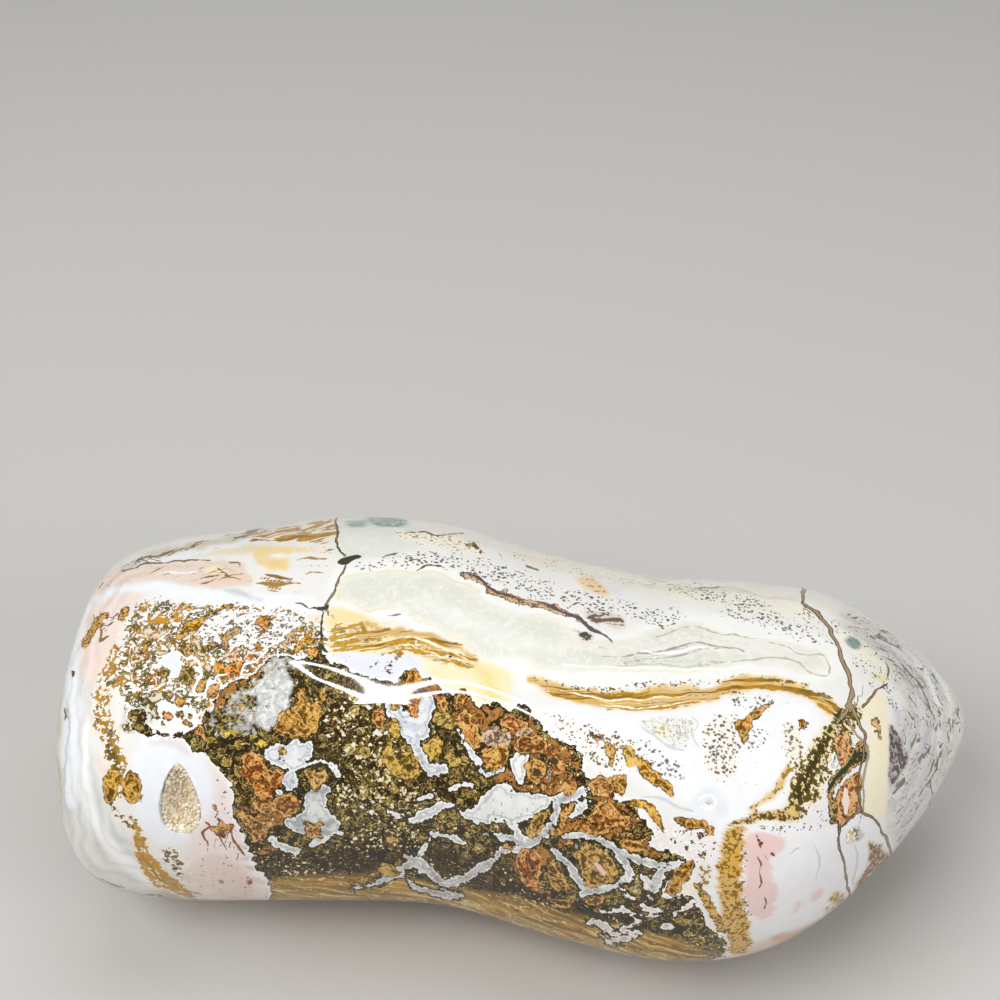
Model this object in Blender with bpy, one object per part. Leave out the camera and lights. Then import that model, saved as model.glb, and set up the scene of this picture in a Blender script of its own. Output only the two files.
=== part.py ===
"""A polished agate freeform, about 250 mm long, with two small hollows lined with quartz crystals.

The stone is one piece: a ball drawn out along X, whose half-widths and centre line follow a table of
stations, and which is ground flat where it rests. Each hollow is cut into it with an egg-shaped cutter,
and its crystals are one crust that sits in the hollow with a hairline gap.
Metres, +Z up. The origin is under the middle of the stone's box, on the surface it rests on.
"""

import math
import random

import bmesh
import bpy
import numpy as np
from mathutils import Matrix, Vector

MM = 0.001

# Stations along the stone, in mm: place along the length, centre line's depth, half depth, half height, and
# the height of the underside. The middle stations dip just under the surface, where the stone is ground flat.
STATIONS = np.array(
    [
        (-117, 6, 66, 47, 0.0),
        (-103, 7, 61, 46, -0.2),
        (-75, 9, 56, 45, -0.2),
        (-45, 11, 56, 46, -0.6),
        (-15, 9, 55, 46, -0.9),
        (15, -2, 54, 45, -0.9),
        (45, -9, 57, 44, -0.6),
        (70, -9, 60, 45, 0.0),
        (95, -4, 57, 44, 3.0),
        (113, 1, 50, 38, 8.0),
        (129.5, 5, 36, 30, 15.0),
    ],
    float,
)
SECTION_POWER = 2.3  # 2 is an ellipse, and more is squarer
BLUNT_END_POWER = 4.6  # the left end is nearly flat
ROUND_END_POWER = 2.15  # the right end is a rounded nose

BODY_CUTS = 23  # cuts across each side of the cube that becomes the stone
CUTTER_RINGS = 12
CUTTER_SEGMENTS = 24
TOP_NARROWING = 0.35  # how much narrower a hollow is at its upper end

FIT_GAP = 0.3  # mm between a crust and the wall of its hollow
CRYSTAL_TILT = 0.35  # sideways lean of a crystal, as a share of its height
CRYSTAL_JITTER = 0.22  # how far the crystals' feet stray, as a share of their spacing

# Each hollow, in mm and degrees: a point on the stone's skin, the way out of it, the lean of its long axis,
# its half length, half width and depth, the crust's thickness, how far below the skin the crust's rim is,
# the rings of crystals from the deepest place to the rim, and the crystals' height.
HOLLOWS = {
    "crystal_crust": {
        "mouth": (-80.4, -40.7, 64.0),
        "outward": (-0.09, -0.89, 0.45),
        "lean": 4.0,
        "half_length": 9.4,
        "half_width": 5.0,
        "depth": 4.4,
        "thickness": 0.8,
        "rim_below": 1.5,
        "rings": 5,
        "crystal_height": 1.2,
    },
    "small_crystal_crust": {
        "mouth": (87.3, -49.7, 60.9),
        "outward": (0.56, -0.75, 0.35),
        "lean": -20.0,
        "half_length": 2.2,
        "half_width": 2.0,
        "depth": 1.9,
        "thickness": 0.4,
        "rim_below": 0.5,
        "rings": 2,
        "crystal_height": 0.6,
    },
}

AGATE = {"color": (0.82, 0.79, 0.72, 1.0), "roughness": 0.12}
QUARTZ = {"color": (0.80, 0.73, 0.60, 1.0), "roughness": 0.15}


def clear_scene():
    for obj in list(bpy.data.objects):
        bpy.data.objects.remove(obj)


def finish(name, look):
    material = bpy.data.materials.new(name)
    material.use_nodes = True
    shader = material.node_tree.nodes["Principled BSDF"]
    shader.inputs["Base Color"].default_value = look["color"]
    shader.inputs["Roughness"].default_value = look["roughness"]
    shader.inputs["Metallic"].default_value = 0.0
    return material


def station_curve(x, column):
    """One column of the stations at each x, on a smooth curve through them."""
    places, values = STATIONS[:, 0], STATIONS[:, column]
    slopes = np.gradient(values, places)
    left = np.clip(np.searchsorted(places, x) - 1, 0, len(places) - 2)
    gap = places[left + 1] - places[left]
    t = np.clip((x - places[left]) / gap, 0, 1)
    return (
        (2 * t**3 - 3 * t**2 + 1) * values[left]
        + (t**3 - 2 * t**2 + t) * gap * slopes[left]
        + (3 * t**2 - 2 * t**3) * values[left + 1]
        + (t**3 - t**2) * gap * slopes[left + 1]
    )


def stone_surface(directions):
    """The points of the stone's skin, in mm, that these unit vectors of a ball are drawn out to."""
    first, last = STATIONS[0, 0], STATIONS[-1, 0]
    along = directions[:, 0]
    x = (first + last) / 2 + (last - first) / 2 * along
    radius = np.hypot(directions[:, 1], directions[:, 2])
    on_axis = radius < 1e-6
    safe = np.where(on_axis, 1.0, radius)
    across = directions[:, 1] / safe
    upward = directions[:, 2] / safe
    square = np.maximum(np.abs(across) ** SECTION_POWER + np.abs(upward) ** SECTION_POWER, 1e-9)
    power = np.where(along < 0, BLUNT_END_POWER, ROUND_END_POWER)
    rounding = np.maximum(1 - np.abs(along) ** power, 0) ** (1 / power)
    reach = np.where(on_axis, 0.0, rounding * square ** (-1 / SECTION_POWER))
    centre, half_depth, half_height, underside = (station_curve(x, k) for k in (1, 2, 3, 4))
    y = centre + half_depth * across * reach
    z = underside + half_height + half_height * upward * reach
    return np.stack([x, y, z], axis=1)


def link(name, bm, material):
    """A smooth-shaded object made from bm, which is then freed."""
    mesh = bpy.data.meshes.new(name)
    bm.to_mesh(mesh)
    bm.free()
    mesh.materials.append(material)
    mesh.shade_smooth()
    obj = bpy.data.objects.new(name, mesh)
    bpy.context.scene.collection.objects.link(obj)
    return obj


def make_body(material):
    """The whole stone, ground flat at z = 0, and the shift in mm that put its box over the origin."""
    bm = bmesh.new()
    bmesh.ops.create_cube(bm, size=2.0)
    bmesh.ops.subdivide_edges(bm, edges=bm.edges[:], cuts=BODY_CUTS, use_grid_fill=True)
    corners = np.array([v.co for v in bm.verts])
    even = np.tan(corners * math.pi / 4)
    directions = even / np.linalg.norm(even, axis=1)[:, None]
    points = stone_surface(directions)
    shift = -(points.min(axis=0) + points.max(axis=0)) / 2
    shift[2] = 0.0
    for vert, point in zip(bm.verts, points + shift):
        vert.co = Vector(point) * MM
    cut = bmesh.ops.bisect_plane(
        bm,
        geom=bm.verts[:] + bm.edges[:] + bm.faces[:],
        plane_co=(0, 0, 0),
        plane_no=(0, 0, 1),
        clear_inner=True,
    )
    rim = [e for e in cut["geom_cut"] if isinstance(e, bmesh.types.BMEdge)]
    bmesh.ops.edgeloop_fill(bm, edges=rim)
    bmesh.ops.recalc_face_normals(bm, faces=bm.faces[:])
    body = link("agate_body", bm, material)
    body.data.set_sharp_from_angle(angle=math.radians(30))
    return body, Vector(shift)


def hollow_frame(hollow, shift):
    """The matrix, in metres, whose X is across a hollow, Y along it and Z out of the stone."""
    out = Vector(hollow["outward"]).normalized()
    across = Vector((0, 0, 1)).cross(out).normalized()
    axes = Matrix((across, out.cross(across), out)).transposed().to_4x4()
    lean = Matrix.Rotation(math.radians(hollow["lean"]), 4, "Z")
    mouth = (Vector(hollow["mouth"]) + shift) * MM
    return Matrix.Translation(mouth) @ axes @ lean


def egg_point(hollow, inset, ball):
    """A point of the hollow's wall, in mm in its own frame, drawn in by inset along the ball's way."""
    width = hollow["half_width"] * (1 - TOP_NARROWING * ball.y) - inset
    length = hollow["half_length"] - inset
    depth = hollow["depth"] - inset
    return Vector((width * ball.x, length * ball.y, depth * ball.z))


def make_cutter(name, hollow, frame, material):
    """The closed egg that cuts a hollow, centred on its mouth."""
    bm = bmesh.new()
    bmesh.ops.create_uvsphere(
        bm, u_segments=CUTTER_SEGMENTS, v_segments=CUTTER_RINGS, radius=1.0
    )
    for vert in bm.verts:
        vert.co = egg_point(hollow, 0.0, vert.co)
    bm.transform(frame @ Matrix.Scale(MM, 4))
    cutter = link(name, bm, material)
    cutter.hide_render = True
    cutter.display_type = "WIRE"
    return cutter


def wall_rings(bm, hollow, inset, jitter, draw):
    """Rings of points on the hollow's wall, from one at the deepest place to the crust's rim."""
    rings = hollow["rings"]
    top = math.acos(hollow["rim_below"] / (hollow["depth"] - inset))
    layers = []
    for ring in range(rings + 1):
        layer = []
        count = max(1, 6 * ring)
        loose = jitter if ring < rings else 0.0
        for i in range(count):
            down = top * (ring + draw.uniform(-loose, loose)) / rings
            turn = math.tau * (i + draw.uniform(-loose, loose)) / count
            ball = Vector(
                (math.sin(down) * math.cos(turn), math.sin(down) * math.sin(turn), -math.cos(down))
            )
            layer.append(bm.verts.new(egg_point(hollow, inset, ball)))
        layers.append(layer)
    return layers


def ring_triangles(layers):
    """The triangles between the rings, where ring k has six sides of k triangles."""
    triangles = []
    for ring in range(1, len(layers)):
        outer, inner = layers[ring], layers[ring - 1]
        for side in range(6):
            for i in range(ring):
                a = outer[side * ring + i]
                b = outer[(side * ring + i + 1) % len(outer)]
                c = inner[(side * (ring - 1) + i) % len(inner)]
                triangles.append((a, b, c))
                if i < ring - 1:
                    d = inner[(side * (ring - 1) + i + 1) % len(inner)]
                    triangles.append((b, d, c))
    return triangles


def make_crust(name, hollow, frame, material, seed):
    """A bowl that follows the hollow's wall, with a three-sided crystal tip on each inner triangle."""
    draw = random.Random(seed)
    bm = bmesh.new()
    outer = wall_rings(bm, hollow, FIT_GAP, 0.0, draw)
    inner = wall_rings(bm, hollow, FIT_GAP + hollow["thickness"], CRYSTAL_JITTER, draw)
    for corners in ring_triangles(outer):
        bm.faces.new(corners)
    for a, b, c in ring_triangles(inner):
        middle = (a.co + b.co + c.co) / 3
        away = (b.co - a.co).cross(c.co - a.co).normalized()
        inward = away if away.dot(middle) < 0 else -away
        tilt = Vector([draw.uniform(-1, 1) for _ in range(3)]) * CRYSTAL_TILT
        height = hollow["crystal_height"] * draw.uniform(0.55, 1.15)
        tip = bm.verts.new(middle + (inward + tilt).normalized() * height)
        for first, second in ((a, b), (b, c), (c, a)):
            bm.faces.new((first, second, tip))
    rim = len(outer[-1])
    for i in range(rim):
        j = (i + 1) % rim
        bm.faces.new((outer[-1][i], outer[-1][j], inner[-1][j], inner[-1][i]))
    bmesh.ops.recalc_face_normals(bm, faces=bm.faces[:])
    bm.transform(frame @ Matrix.Scale(MM, 4))
    crust = link(name, bm, material)
    crust.data.set_sharp_from_angle(angle=math.radians(30))
    return crust


def make_hollow(name, hollow, body, shift, material, seed):
    """Cuts one hollow into the body and lines it with its crust of crystals."""
    frame = hollow_frame(hollow, shift)
    cutter = make_cutter(name + "_cutter", hollow, frame, material)
    boolean = body.modifiers.new(name + "_hollow", "BOOLEAN")
    boolean.operation = "DIFFERENCE"
    boolean.solver = "EXACT"
    boolean.object = cutter
    make_crust(name, hollow, frame, material, seed)


def main():
    clear_scene()
    agate = finish("polished_agate", AGATE)
    quartz = finish("quartz_druse", QUARTZ)
    body, shift = make_body(agate)
    for seed, (name, hollow) in enumerate(HOLLOWS.items()):
        make_hollow(name, hollow, body, shift, quartz, seed)


main()
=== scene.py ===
# %% [markdown]
# # A polished agate freeform
#
# The stone is agate with jasper in it: white and pale grey agate that runs in bands, a dark jasper heart
# with rust and gold in it, and two small open hollows lined with quartz. Polishing has rounded it and left
# it smooth, so nearly all of its look is in its markings. This lesson builds the smooth shape first, cuts
# the hollows, draws the markings, grows the crystals, and then sets up a plain studio.

import math

import bmesh
import bpy
import numpy as np
from mathutils import Matrix, Vector, noise


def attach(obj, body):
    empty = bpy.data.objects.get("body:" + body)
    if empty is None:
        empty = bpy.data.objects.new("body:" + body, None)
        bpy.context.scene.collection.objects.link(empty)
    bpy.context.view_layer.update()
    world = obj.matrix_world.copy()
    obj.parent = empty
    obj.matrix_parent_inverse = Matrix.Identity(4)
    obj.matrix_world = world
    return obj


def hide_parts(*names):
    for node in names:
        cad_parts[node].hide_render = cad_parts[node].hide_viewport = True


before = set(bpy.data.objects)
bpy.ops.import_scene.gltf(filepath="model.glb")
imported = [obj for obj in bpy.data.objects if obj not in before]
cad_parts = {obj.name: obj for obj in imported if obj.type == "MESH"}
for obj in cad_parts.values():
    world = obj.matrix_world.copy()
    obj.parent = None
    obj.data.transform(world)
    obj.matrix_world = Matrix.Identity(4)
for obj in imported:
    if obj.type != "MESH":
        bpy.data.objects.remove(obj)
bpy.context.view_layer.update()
MM = 0.001

# %% [markdown]
# ## The shape
#
# A freeform has no straight line and no corner, so it could be sculpted by hand. Here it is a ball that is
# drawn out along X. A table of stations says how wide and how high it is and where its middle runs, and a
# smooth curve through the stations fills in the rest. The sections are a little squarer than an ellipse.

# %% The ball drawn out to a stone
# place along the length, centre line's depth, half depth, half height, height of the underside, in mm
STATIONS = np.array(
    [
        (-117, 6, 66, 47, 0.0),
        (-103, 7, 61, 46, -0.2),
        (-75, 9, 56, 45, -0.2),
        (-45, 11, 56, 46, -0.6),
        (-15, 9, 55, 46, -0.9),
        (15, -2, 54, 45, -0.9),
        (45, -9, 57, 44, -0.6),
        (70, -9, 60, 45, 0.0),
        (95, -4, 57, 44, 3.0),
        (113, 1, 50, 38, 8.0),
        (129.5, 5, 36, 30, 15.0),
    ]
)
SECTION_POWER = 2.3
BLUNT_END_POWER = 4.6
ROUND_END_POWER = 2.15


def station_curve(x, column):
    """One column of the stations at each x, on a smooth curve through them."""
    places, values = STATIONS[:, 0], STATIONS[:, column]
    slopes = np.gradient(values, places)
    left = np.clip(np.searchsorted(places, x) - 1, 0, len(places) - 2)
    gap = places[left + 1] - places[left]
    t = np.clip((x - places[left]) / gap, 0, 1)
    return (
        (2 * t**3 - 3 * t**2 + 1) * values[left]
        + (t**3 - 2 * t**2 + t) * gap * slopes[left]
        + (3 * t**2 - 2 * t**3) * values[left + 1]
        + (t**3 - t**2) * gap * slopes[left + 1]
    )


def stone_surface(directions):
    """The points of the stone's skin, in mm, that these unit vectors of a ball are drawn out to."""
    first, last = STATIONS[0, 0], STATIONS[-1, 0]
    along = directions[:, 0]
    x = (first + last) / 2 + (last - first) / 2 * along
    radius = np.hypot(directions[:, 1], directions[:, 2])
    on_axis = radius < 1e-6
    safe = np.where(on_axis, 1.0, radius)
    across = directions[:, 1] / safe
    upward = directions[:, 2] / safe
    square = np.maximum(np.abs(across) ** SECTION_POWER + np.abs(upward) ** SECTION_POWER, 1e-9)
    power = np.where(along < 0, BLUNT_END_POWER, ROUND_END_POWER)
    rounding = np.maximum(1 - np.abs(along) ** power, 0) ** (1 / power)
    reach = np.where(on_axis, 0.0, rounding * square ** (-1 / SECTION_POWER))
    centre, half_depth, half_height, underside = (station_curve(x, k) for k in (1, 2, 3, 4))
    y = centre + half_depth * across * reach
    z = underside + half_height + half_height * upward * reach
    return np.stack([x, y, z], axis=1)


# %% [markdown]
# ## A fine mesh, finest where it is looked at
#
# The markings are drawn on the mesh's own points, so those must lie close together. A cube whose sides are
# cut into small squares and blown up to a ball has no poles and nearly even squares. Its points are then
# drawn towards the side that faces the viewer, which makes the squares there smaller.

# %% The mesh of the stone
VIEWER = np.array([0.0, -310.0, 379.0])  # mm, where the eye is, before the stone is shifted to the origin
PITCH = math.radians(39)  # how far the eye looks down
SQUARES = 128  # along each edge of the cube
PULL = 0.38  # how strongly the points are drawn towards the viewer


def cube_ball(squares):
    """Unit vectors of the points of a cube-shaped grid blown up to a ball, and its square faces."""
    step = np.arange(squares + 1)
    number, places, faces = {}, [], []

    def point(key):
        if key not in number:
            number[key] = len(places)
            places.append(key)
        return number[key]

    for axis in range(3):
        first, second = (axis + 1) % 3, (axis + 2) % 3
        for side in (0, squares):
            grid = np.zeros((squares + 1, squares + 1), int)
            for i in step:
                for j in step:
                    key = [0, 0, 0]
                    key[axis], key[first], key[second] = side, int(i), int(j)
                    grid[i, j] = point(tuple(key))
            ring = [grid[:-1, :-1], grid[1:, :-1], grid[1:, 1:], grid[:-1, 1:]]
            if side == 0:
                ring.reverse()
            faces.append(np.stack([corner.ravel() for corner in ring], axis=1))
    even = np.tan((np.array(places) / squares * 2 - 1) * math.pi / 4)
    return even / np.linalg.norm(even, axis=1)[:, None], np.concatenate(faces)


ball, squares = cube_ball(SQUARES)
towards = np.array([0, -math.cos(PITCH), math.sin(PITCH)])
ball = ball + PULL * towards
ball /= np.linalg.norm(ball, axis=1)[:, None]
skin = stone_surface(ball)
SHIFT = -(skin.min(axis=0) + skin.max(axis=0)) / 2
SHIFT[2] = 0.0
skin[:, 2] = np.maximum(skin[:, 2], 0.0)  # ground flat where it rests
stone_mesh = bpy.data.meshes.new("agate_stone")
stone_mesh.from_pydata((skin + SHIFT) * MM, [], squares.tolist())
stone_mesh.shade_smooth()
stone = bpy.data.objects.new("agate_stone", stone_mesh)
bpy.context.scene.collection.objects.link(stone)
print("stone", len(skin), "points, box in mm", (skin.max(axis=0) - skin.min(axis=0)).round(1))

# %% [markdown]
# ## The hollows
#
# Where the agate stopped growing inwards a hollow stayed open, and the saw has cut across it. Two are open
# here. An egg is set into the skin at each and taken away with a Boolean, which leaves the crisp rim that
# a saw and a polishing wheel leave.

# %% Cutting the hollows
TOP_NARROWING = 0.35  # how much narrower than at its middle a hollow is at its top
RINGS, SEGMENTS = 24, 40  # of the egg that a hollow is cut with
# places and sizes in mm before the shift, and the lean in degrees
HOLLOWS = {
    "crystal_crust": {
        "mouth": (-80.4, -40.7, 64.0),
        "outward": (-0.09, -0.89, 0.45),
        "lean": 4.0,
        "half_length": 9.4,
        "half_width": 5.0,
        "depth": 4.4,
    },
    "small_crystal_crust": {
        "mouth": (87.3, -49.7, 60.9),
        "outward": (0.56, -0.75, 0.35),
        "lean": -20.0,
        "half_length": 2.2,
        "half_width": 2.0,
        "depth": 1.9,
    },
}


def hollow_frame(hollow):
    """The matrix, in metres, whose X is across a hollow, Y along it and Z out of the stone."""
    out = Vector(hollow["outward"]).normalized()
    across = Vector((0, 0, 1)).cross(out).normalized()
    axes = Matrix((across, out.cross(across), out)).transposed().to_4x4()
    lean = Matrix.Rotation(math.radians(hollow["lean"]), 4, "Z")
    mouth = (Vector(hollow["mouth"]) + Vector(SHIFT)) * MM
    return Matrix.Translation(mouth) @ axes @ lean


def ordered_mesh(name, bm):
    """A smooth mesh from bm, with its points and faces in a fixed order. The order that Blender gives the
    faces of a ball changes from run to run, and with it the places of what is scattered on them."""
    verts = sorted(bm.verts, key=lambda vert: vert.co[:])
    number = {vert: i for i, vert in enumerate(verts)}
    faces = []
    for face in bm.faces:
        ring = [number[vert] for vert in face.verts]
        start = ring.index(min(ring))
        faces.append(ring[start:] + ring[:start])
    mesh = bpy.data.meshes.new(name)
    mesh.from_pydata([vert.co[:] for vert in verts], [], sorted(faces))
    mesh.shade_smooth()
    bm.free()
    return mesh


def egg(name, hollow, inset=0.0):
    """A closed egg of the hollow's form, drawn in by inset mm, in place in the stone."""
    bm = bmesh.new()
    bmesh.ops.create_uvsphere(bm, u_segments=SEGMENTS, v_segments=RINGS, radius=1.0)
    for vert in bm.verts:
        width = hollow["half_width"] * (1 - TOP_NARROWING * vert.co.y) - inset
        vert.co.x *= width
        vert.co.y *= hollow["half_length"] - inset
        vert.co.z *= hollow["depth"] - inset
    bm.transform(hollow_frame(hollow) @ Matrix.Scale(MM, 4))
    obj = bpy.data.objects.new(name, ordered_mesh(name, bm))
    bpy.context.scene.collection.objects.link(obj)
    return obj


for name, hollow in HOLLOWS.items():
    cutter = egg("cutter", hollow)
    boolean = stone.modifiers.new("hollow", "BOOLEAN")
    boolean.operation = "DIFFERENCE"
    boolean.solver = "EXACT"
    boolean.object = cutter
    bpy.context.view_layer.update()
    cut_mesh = bpy.data.meshes.new_from_object(stone.evaluated_get(bpy.context.evaluated_depsgraph_get()))
    stone.modifiers.clear()
    stone.data = cut_mesh
    bpy.data.objects.remove(cutter)
stone.data.name = "agate_stone"
print("after the cuts", len(stone.data.vertices), "points,", len(stone.data.polygons), "faces")

# %% [markdown]
# ## Where a mark goes
#
# The markings are drawn as they are seen, flat, in the pixels of a picture 1000 wide with the eye at its
# place, and each point of the stone looks up where it is seen in that picture. The far side isn't seen:
# its points look up the place of their twins on the near side, and wander off more the farther back they
# lie, so that the markings run round the stone and don't repeat.

# %% Picture coordinates of each point
PICTURE_SIDE = 1000  # pixels
LENS_PIXELS = 1624.0  # distance from the eye to a picture whose pixels are 1 unit wide
STRAY_DEPTH = 25  # mm behind the edge of sight where a point has wandered off fully
STRAY_REACH = 55  # pixels that it wanders off
STRAY_WAVE = 45  # mm over which the wandering changes
WAVERS = ((2.6, 6.0), (1.1, 2.2))  # how every outline wavers: pixels, and mm over which that changes
RAGS = ((1.0, 2.6), (0.6, 1.2))  # how a rough outline is ragged: share of its roughness, and mm


def coordinates(mesh):
    values = np.empty(len(mesh.vertices) * 3, np.float32)
    mesh.vertices.foreach_get("co", values)
    return values.reshape(-1, 3).astype(float)


def wander(points, wavelength, seed):
    """Smooth random vectors, three numbers near -1 to 1 for each point, that change over the wavelength."""
    noise.seed_set(7)  # without a seed Blender starts the noise from the clock, and no two runs are alike
    start = Vector((seed * 17.3, seed * 5.1, seed * 9.7))
    return np.array([noise.noise_vector(Vector(p) / wavelength + start) for p in points])


def to_picture(points):
    """Pixels, right and down, at which points in mm are seen."""
    ahead = np.array([0, math.cos(PITCH), -math.sin(PITCH)])
    upward = np.array([0, math.sin(PITCH), math.cos(PITCH)])
    sight = points - VIEWER
    depth = sight @ ahead
    right = LENS_PIXELS * sight[:, 0] / depth
    up = LENS_PIXELS * (sight @ upward) / depth
    return np.stack([PICTURE_SIDE / 2 + right, PICTURE_SIDE / 2 - up], axis=1)


points = coordinates(stone.data) / MM - SHIFT
along = points[:, 0]
middle = station_curve(along, 4) + station_curve(along, 3)
centre = np.stack([along, station_curve(along, 1), middle], axis=1)
view = VIEWER - centre
view /= np.linalg.norm(view, axis=1)[:, None]
behind = np.minimum(((points - centre) * view).sum(axis=1), 0.0)
twins = points - 2 * behind[:, None] * view
far_back = np.clip(-behind / STRAY_DEPTH, 0, 1)[:, None]
stray = far_back * STRAY_REACH * wander(points, STRAY_WAVE, 1)[:, :2]
picture = to_picture(twins) + stray
for seed, (reach, wavelength) in enumerate(WAVERS, start=2):
    picture += reach * wander(points, wavelength, seed)[:, :2]
ragged = np.zeros(len(points))
for seed, (reach, wavelength) in enumerate(RAGS, start=4):
    ragged += reach * wander(points, wavelength, seed)[:, 0]
print("picture coordinates from", picture.min(axis=0).round(), "to", picture.max(axis=0).round())

# %% [markdown]
# ## Drawing tools
#
# A mark is an area inside a smooth closed line, or a stroke along a smooth open line whose half width can
# change. Either gives each point a signed distance in pixels, above 0 inside the mark. Soft marks tint the
# stone with that distance. Crisp marks keep it as an attribute, and the material draws the edge from it,
# sharper than the mesh could hold.

# %% Areas and strokes
FAR = 14.0  # pixels beyond which a distance isn't worked out


def linear(hex_colour):
    """The scene-linear red, green and blue of a colour such as D9DBCC."""
    srgb = np.array([int(hex_colour[i : i + 2], 16) / 255 for i in (0, 2, 4)])
    return np.where(srgb <= 0.04045, srgb / 12.92, ((srgb + 0.055) / 1.055) ** 2.4)


def smooth_line(corners, closed):
    """More points on a smooth curve through the corners."""
    corners = np.array(corners, float)
    if closed:
        padded = np.concatenate([corners[-1:], corners, corners[:2]])
    else:
        ends = 2 * corners[:1] - corners[1:2], 2 * corners[-1:] - corners[-2:-1]
        padded = np.concatenate([ends[0], corners, ends[1]])
    a, b, c, d = padded[:-3], padded[1:-2], padded[2:-1], padded[3:]
    line = []
    for t in np.arange(0, 1, 0.2):
        square = (2 * a - 5 * b + 4 * c - d) * t**2
        cube = (3 * b - a - 3 * c + d) * t**3
        line.append(0.5 * (2 * b + (c - a) * t + square + cube))
    line = np.stack(line, axis=1).reshape(-1, corners.shape[1])
    return line if closed else np.concatenate([line, corners[-1:]])


def to_line(spots, line, closed):
    """Each spot's distance to the line, less its half width there, and whether the line goes round it."""
    ends = np.roll(line, -1, axis=0) if closed else line[1:]
    starts = line if closed else line[:-1]
    best = np.full(len(spots), 1e9)
    inside = np.zeros(len(spots), bool)
    for start, end in zip(starts, ends):
        way = end[:2] - start[:2]
        share = np.clip((spots - start[:2]) @ way / max(way @ way, 1e-9), 0, 1)
        gap = np.hypot(*(spots - start[:2] - share[:, None] * way).T)
        if line.shape[1] == 3:
            gap -= start[2] + share * (end[2] - start[2])
        best = np.minimum(best, gap)
        if closed and start[1] != end[1]:
            crosses = (start[1] > spots[:, 1]) != (end[1] > spots[:, 1])
            at = start[0] + (spots[:, 1] - start[1]) / (end[1] - start[1]) * way[0]
            inside ^= crosses & (spots[:, 0] < at)
    return best, inside


def close_by(line, margin):
    """Which of the stone's points are seen within a margin of the line's own box."""
    low, high = line[:, :2].min(axis=0) - margin, line[:, :2].max(axis=0) + margin
    return np.all((picture > low) & (picture < high), axis=1)


def distance(corners, rough=0.0, far=FAR):
    """Signed pixels from each of the stone's points to a mark, above 0 inside. Corners with a third number,
    the half width, make a stroke, and those without make an area."""
    closed = len(corners[0]) == 2
    line = smooth_line(corners, closed)
    near = close_by(line, far + rough + (0 if closed else line[:, 2].max()))
    gap, inside = to_line(picture[near], line, closed)
    signed = np.full(len(picture), -far)
    signed[near] = np.maximum(np.where(inside, gap, -gap) + rough * ragged[near], -far)
    return signed


# %% [markdown]
# The layers are what the marks write to, one value or colour for each point of the stone: the ground
# colour, the colour and the share of its fine flecks and how far they are drawn out to streaks, the share of
# dark dots, how much lace it has, and how strong its bands are. Inside the jasper, four more say how much
# rust, how many cream specks, how much painted reflection lies along its foot and how thick a white veil
# there is. The crisp marks have a distance and a colour.
#
# A crack is finer than the mesh, so its distance alone would break up between the points. It is kept with
# a sign, above 0 on one side and below on the other, and passes through 0 just where the crack runs.

# %% Layers
SHARES = ("share", "grain", "dots", "lace", "bands", "rust", "speck", "silt", "veil")
count = len(picture)
layers = {
    "ground": np.tile(linear("EDEBE6"), (count, 1)),
    "fleck": np.tile(linear("B98A35"), (count, 1)),
    **{name: np.zeros(count) for name in SHARES},
    "jasper": np.full(count, -FAR),
    "milk": np.full(count, -FAR),
    "milk_colour": np.tile(linear("C9CCD0"), (count, 1)),
    "patch": np.full(count, -FAR),
    "patch_colour": np.tile(linear("B4602A"), (count, 1)),
    "crack": np.full(count, FAR),
    "crack_width": np.full(count, -FAR),
    "thread": np.full(count, FAR),
    "thread_width": np.full(count, -FAR),
    "thread_colour": np.tile(linear("FAF9F5"), (count, 1)),
}


def tint(corners, soft, ground=None, rough=0.0, **values):
    """Lays a ground colour and other values over part of the stone, fading over soft pixels at its edge."""
    cover = np.clip(distance(corners, rough) / soft + 0.5, 0, 1)
    cover = cover * cover * (3 - 2 * cover)
    if ground:
        values["ground"] = ground
    for layer, value in values.items():
        if isinstance(value, str):
            layers[layer] += (linear(value) - layers[layer]) * cover[:, None]
        else:
            layers[layer] += (value - layers[layer]) * cover


def crisp(kind, corners, colour=None, rough=0.0):
    """Adds a mark whose edge the material draws, such as a patch or a crack."""
    signed = distance(corners, rough)
    wins = signed > layers[kind]
    layers[kind] = np.maximum(layers[kind], signed)
    if colour:
        layers[kind + "_colour"][wins] = linear(colour)


def seam(kind, corners, colour=None):
    """Adds a line that may be finer than the mesh, such as a crack or a thread of white."""
    line = smooth_line(corners, closed=False)
    near = close_by(line, FAR)
    spots = picture[near]
    best = np.full(len(spots), FAR)
    side = best.copy()
    width = np.full(len(spots), -FAR)
    last = len(line) - 2
    for number, (start, end) in enumerate(zip(line[:-1], line[1:])):
        way = end[:2] - start[:2]
        length = max(np.hypot(*way), 1e-6)
        share = (spots - start[:2]) @ way / length**2
        held = np.clip(share, 0, 1)
        gap = np.hypot(*(spots - start[:2] - held[:, None] * way).T)
        across = (spots[:, 1] - start[1]) * way[0] - (spots[:, 0] - start[0]) * way[1]
        past = np.maximum(-share, 0) * (number == 0) + np.maximum(share - 1, 0) * (number == last)
        closer = gap < best
        best = np.where(closer, gap, best)
        side = np.where(closer, np.where(across < 0, -gap, gap), side)
        width = np.where(closer, start[2] + held * (end[2] - start[2]) - past * length, width)
    wins = np.zeros(count, bool)
    wins[near] = best < np.abs(layers[kind][near])
    chosen = wins[near]
    layers[kind][wins] = side[chosen]
    layers[kind + "_width"][wins] = width[chosen]
    if colour:
        layers[kind + "_colour"][wins] = linear(colour)


def dot(x, y, radius, colour):
    """A round speck."""
    seam("thread", [(x - radius / 2, y, radius * 1.2), (x + radius / 2, y + 0.1, radius * 1.2)], colour)


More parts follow.
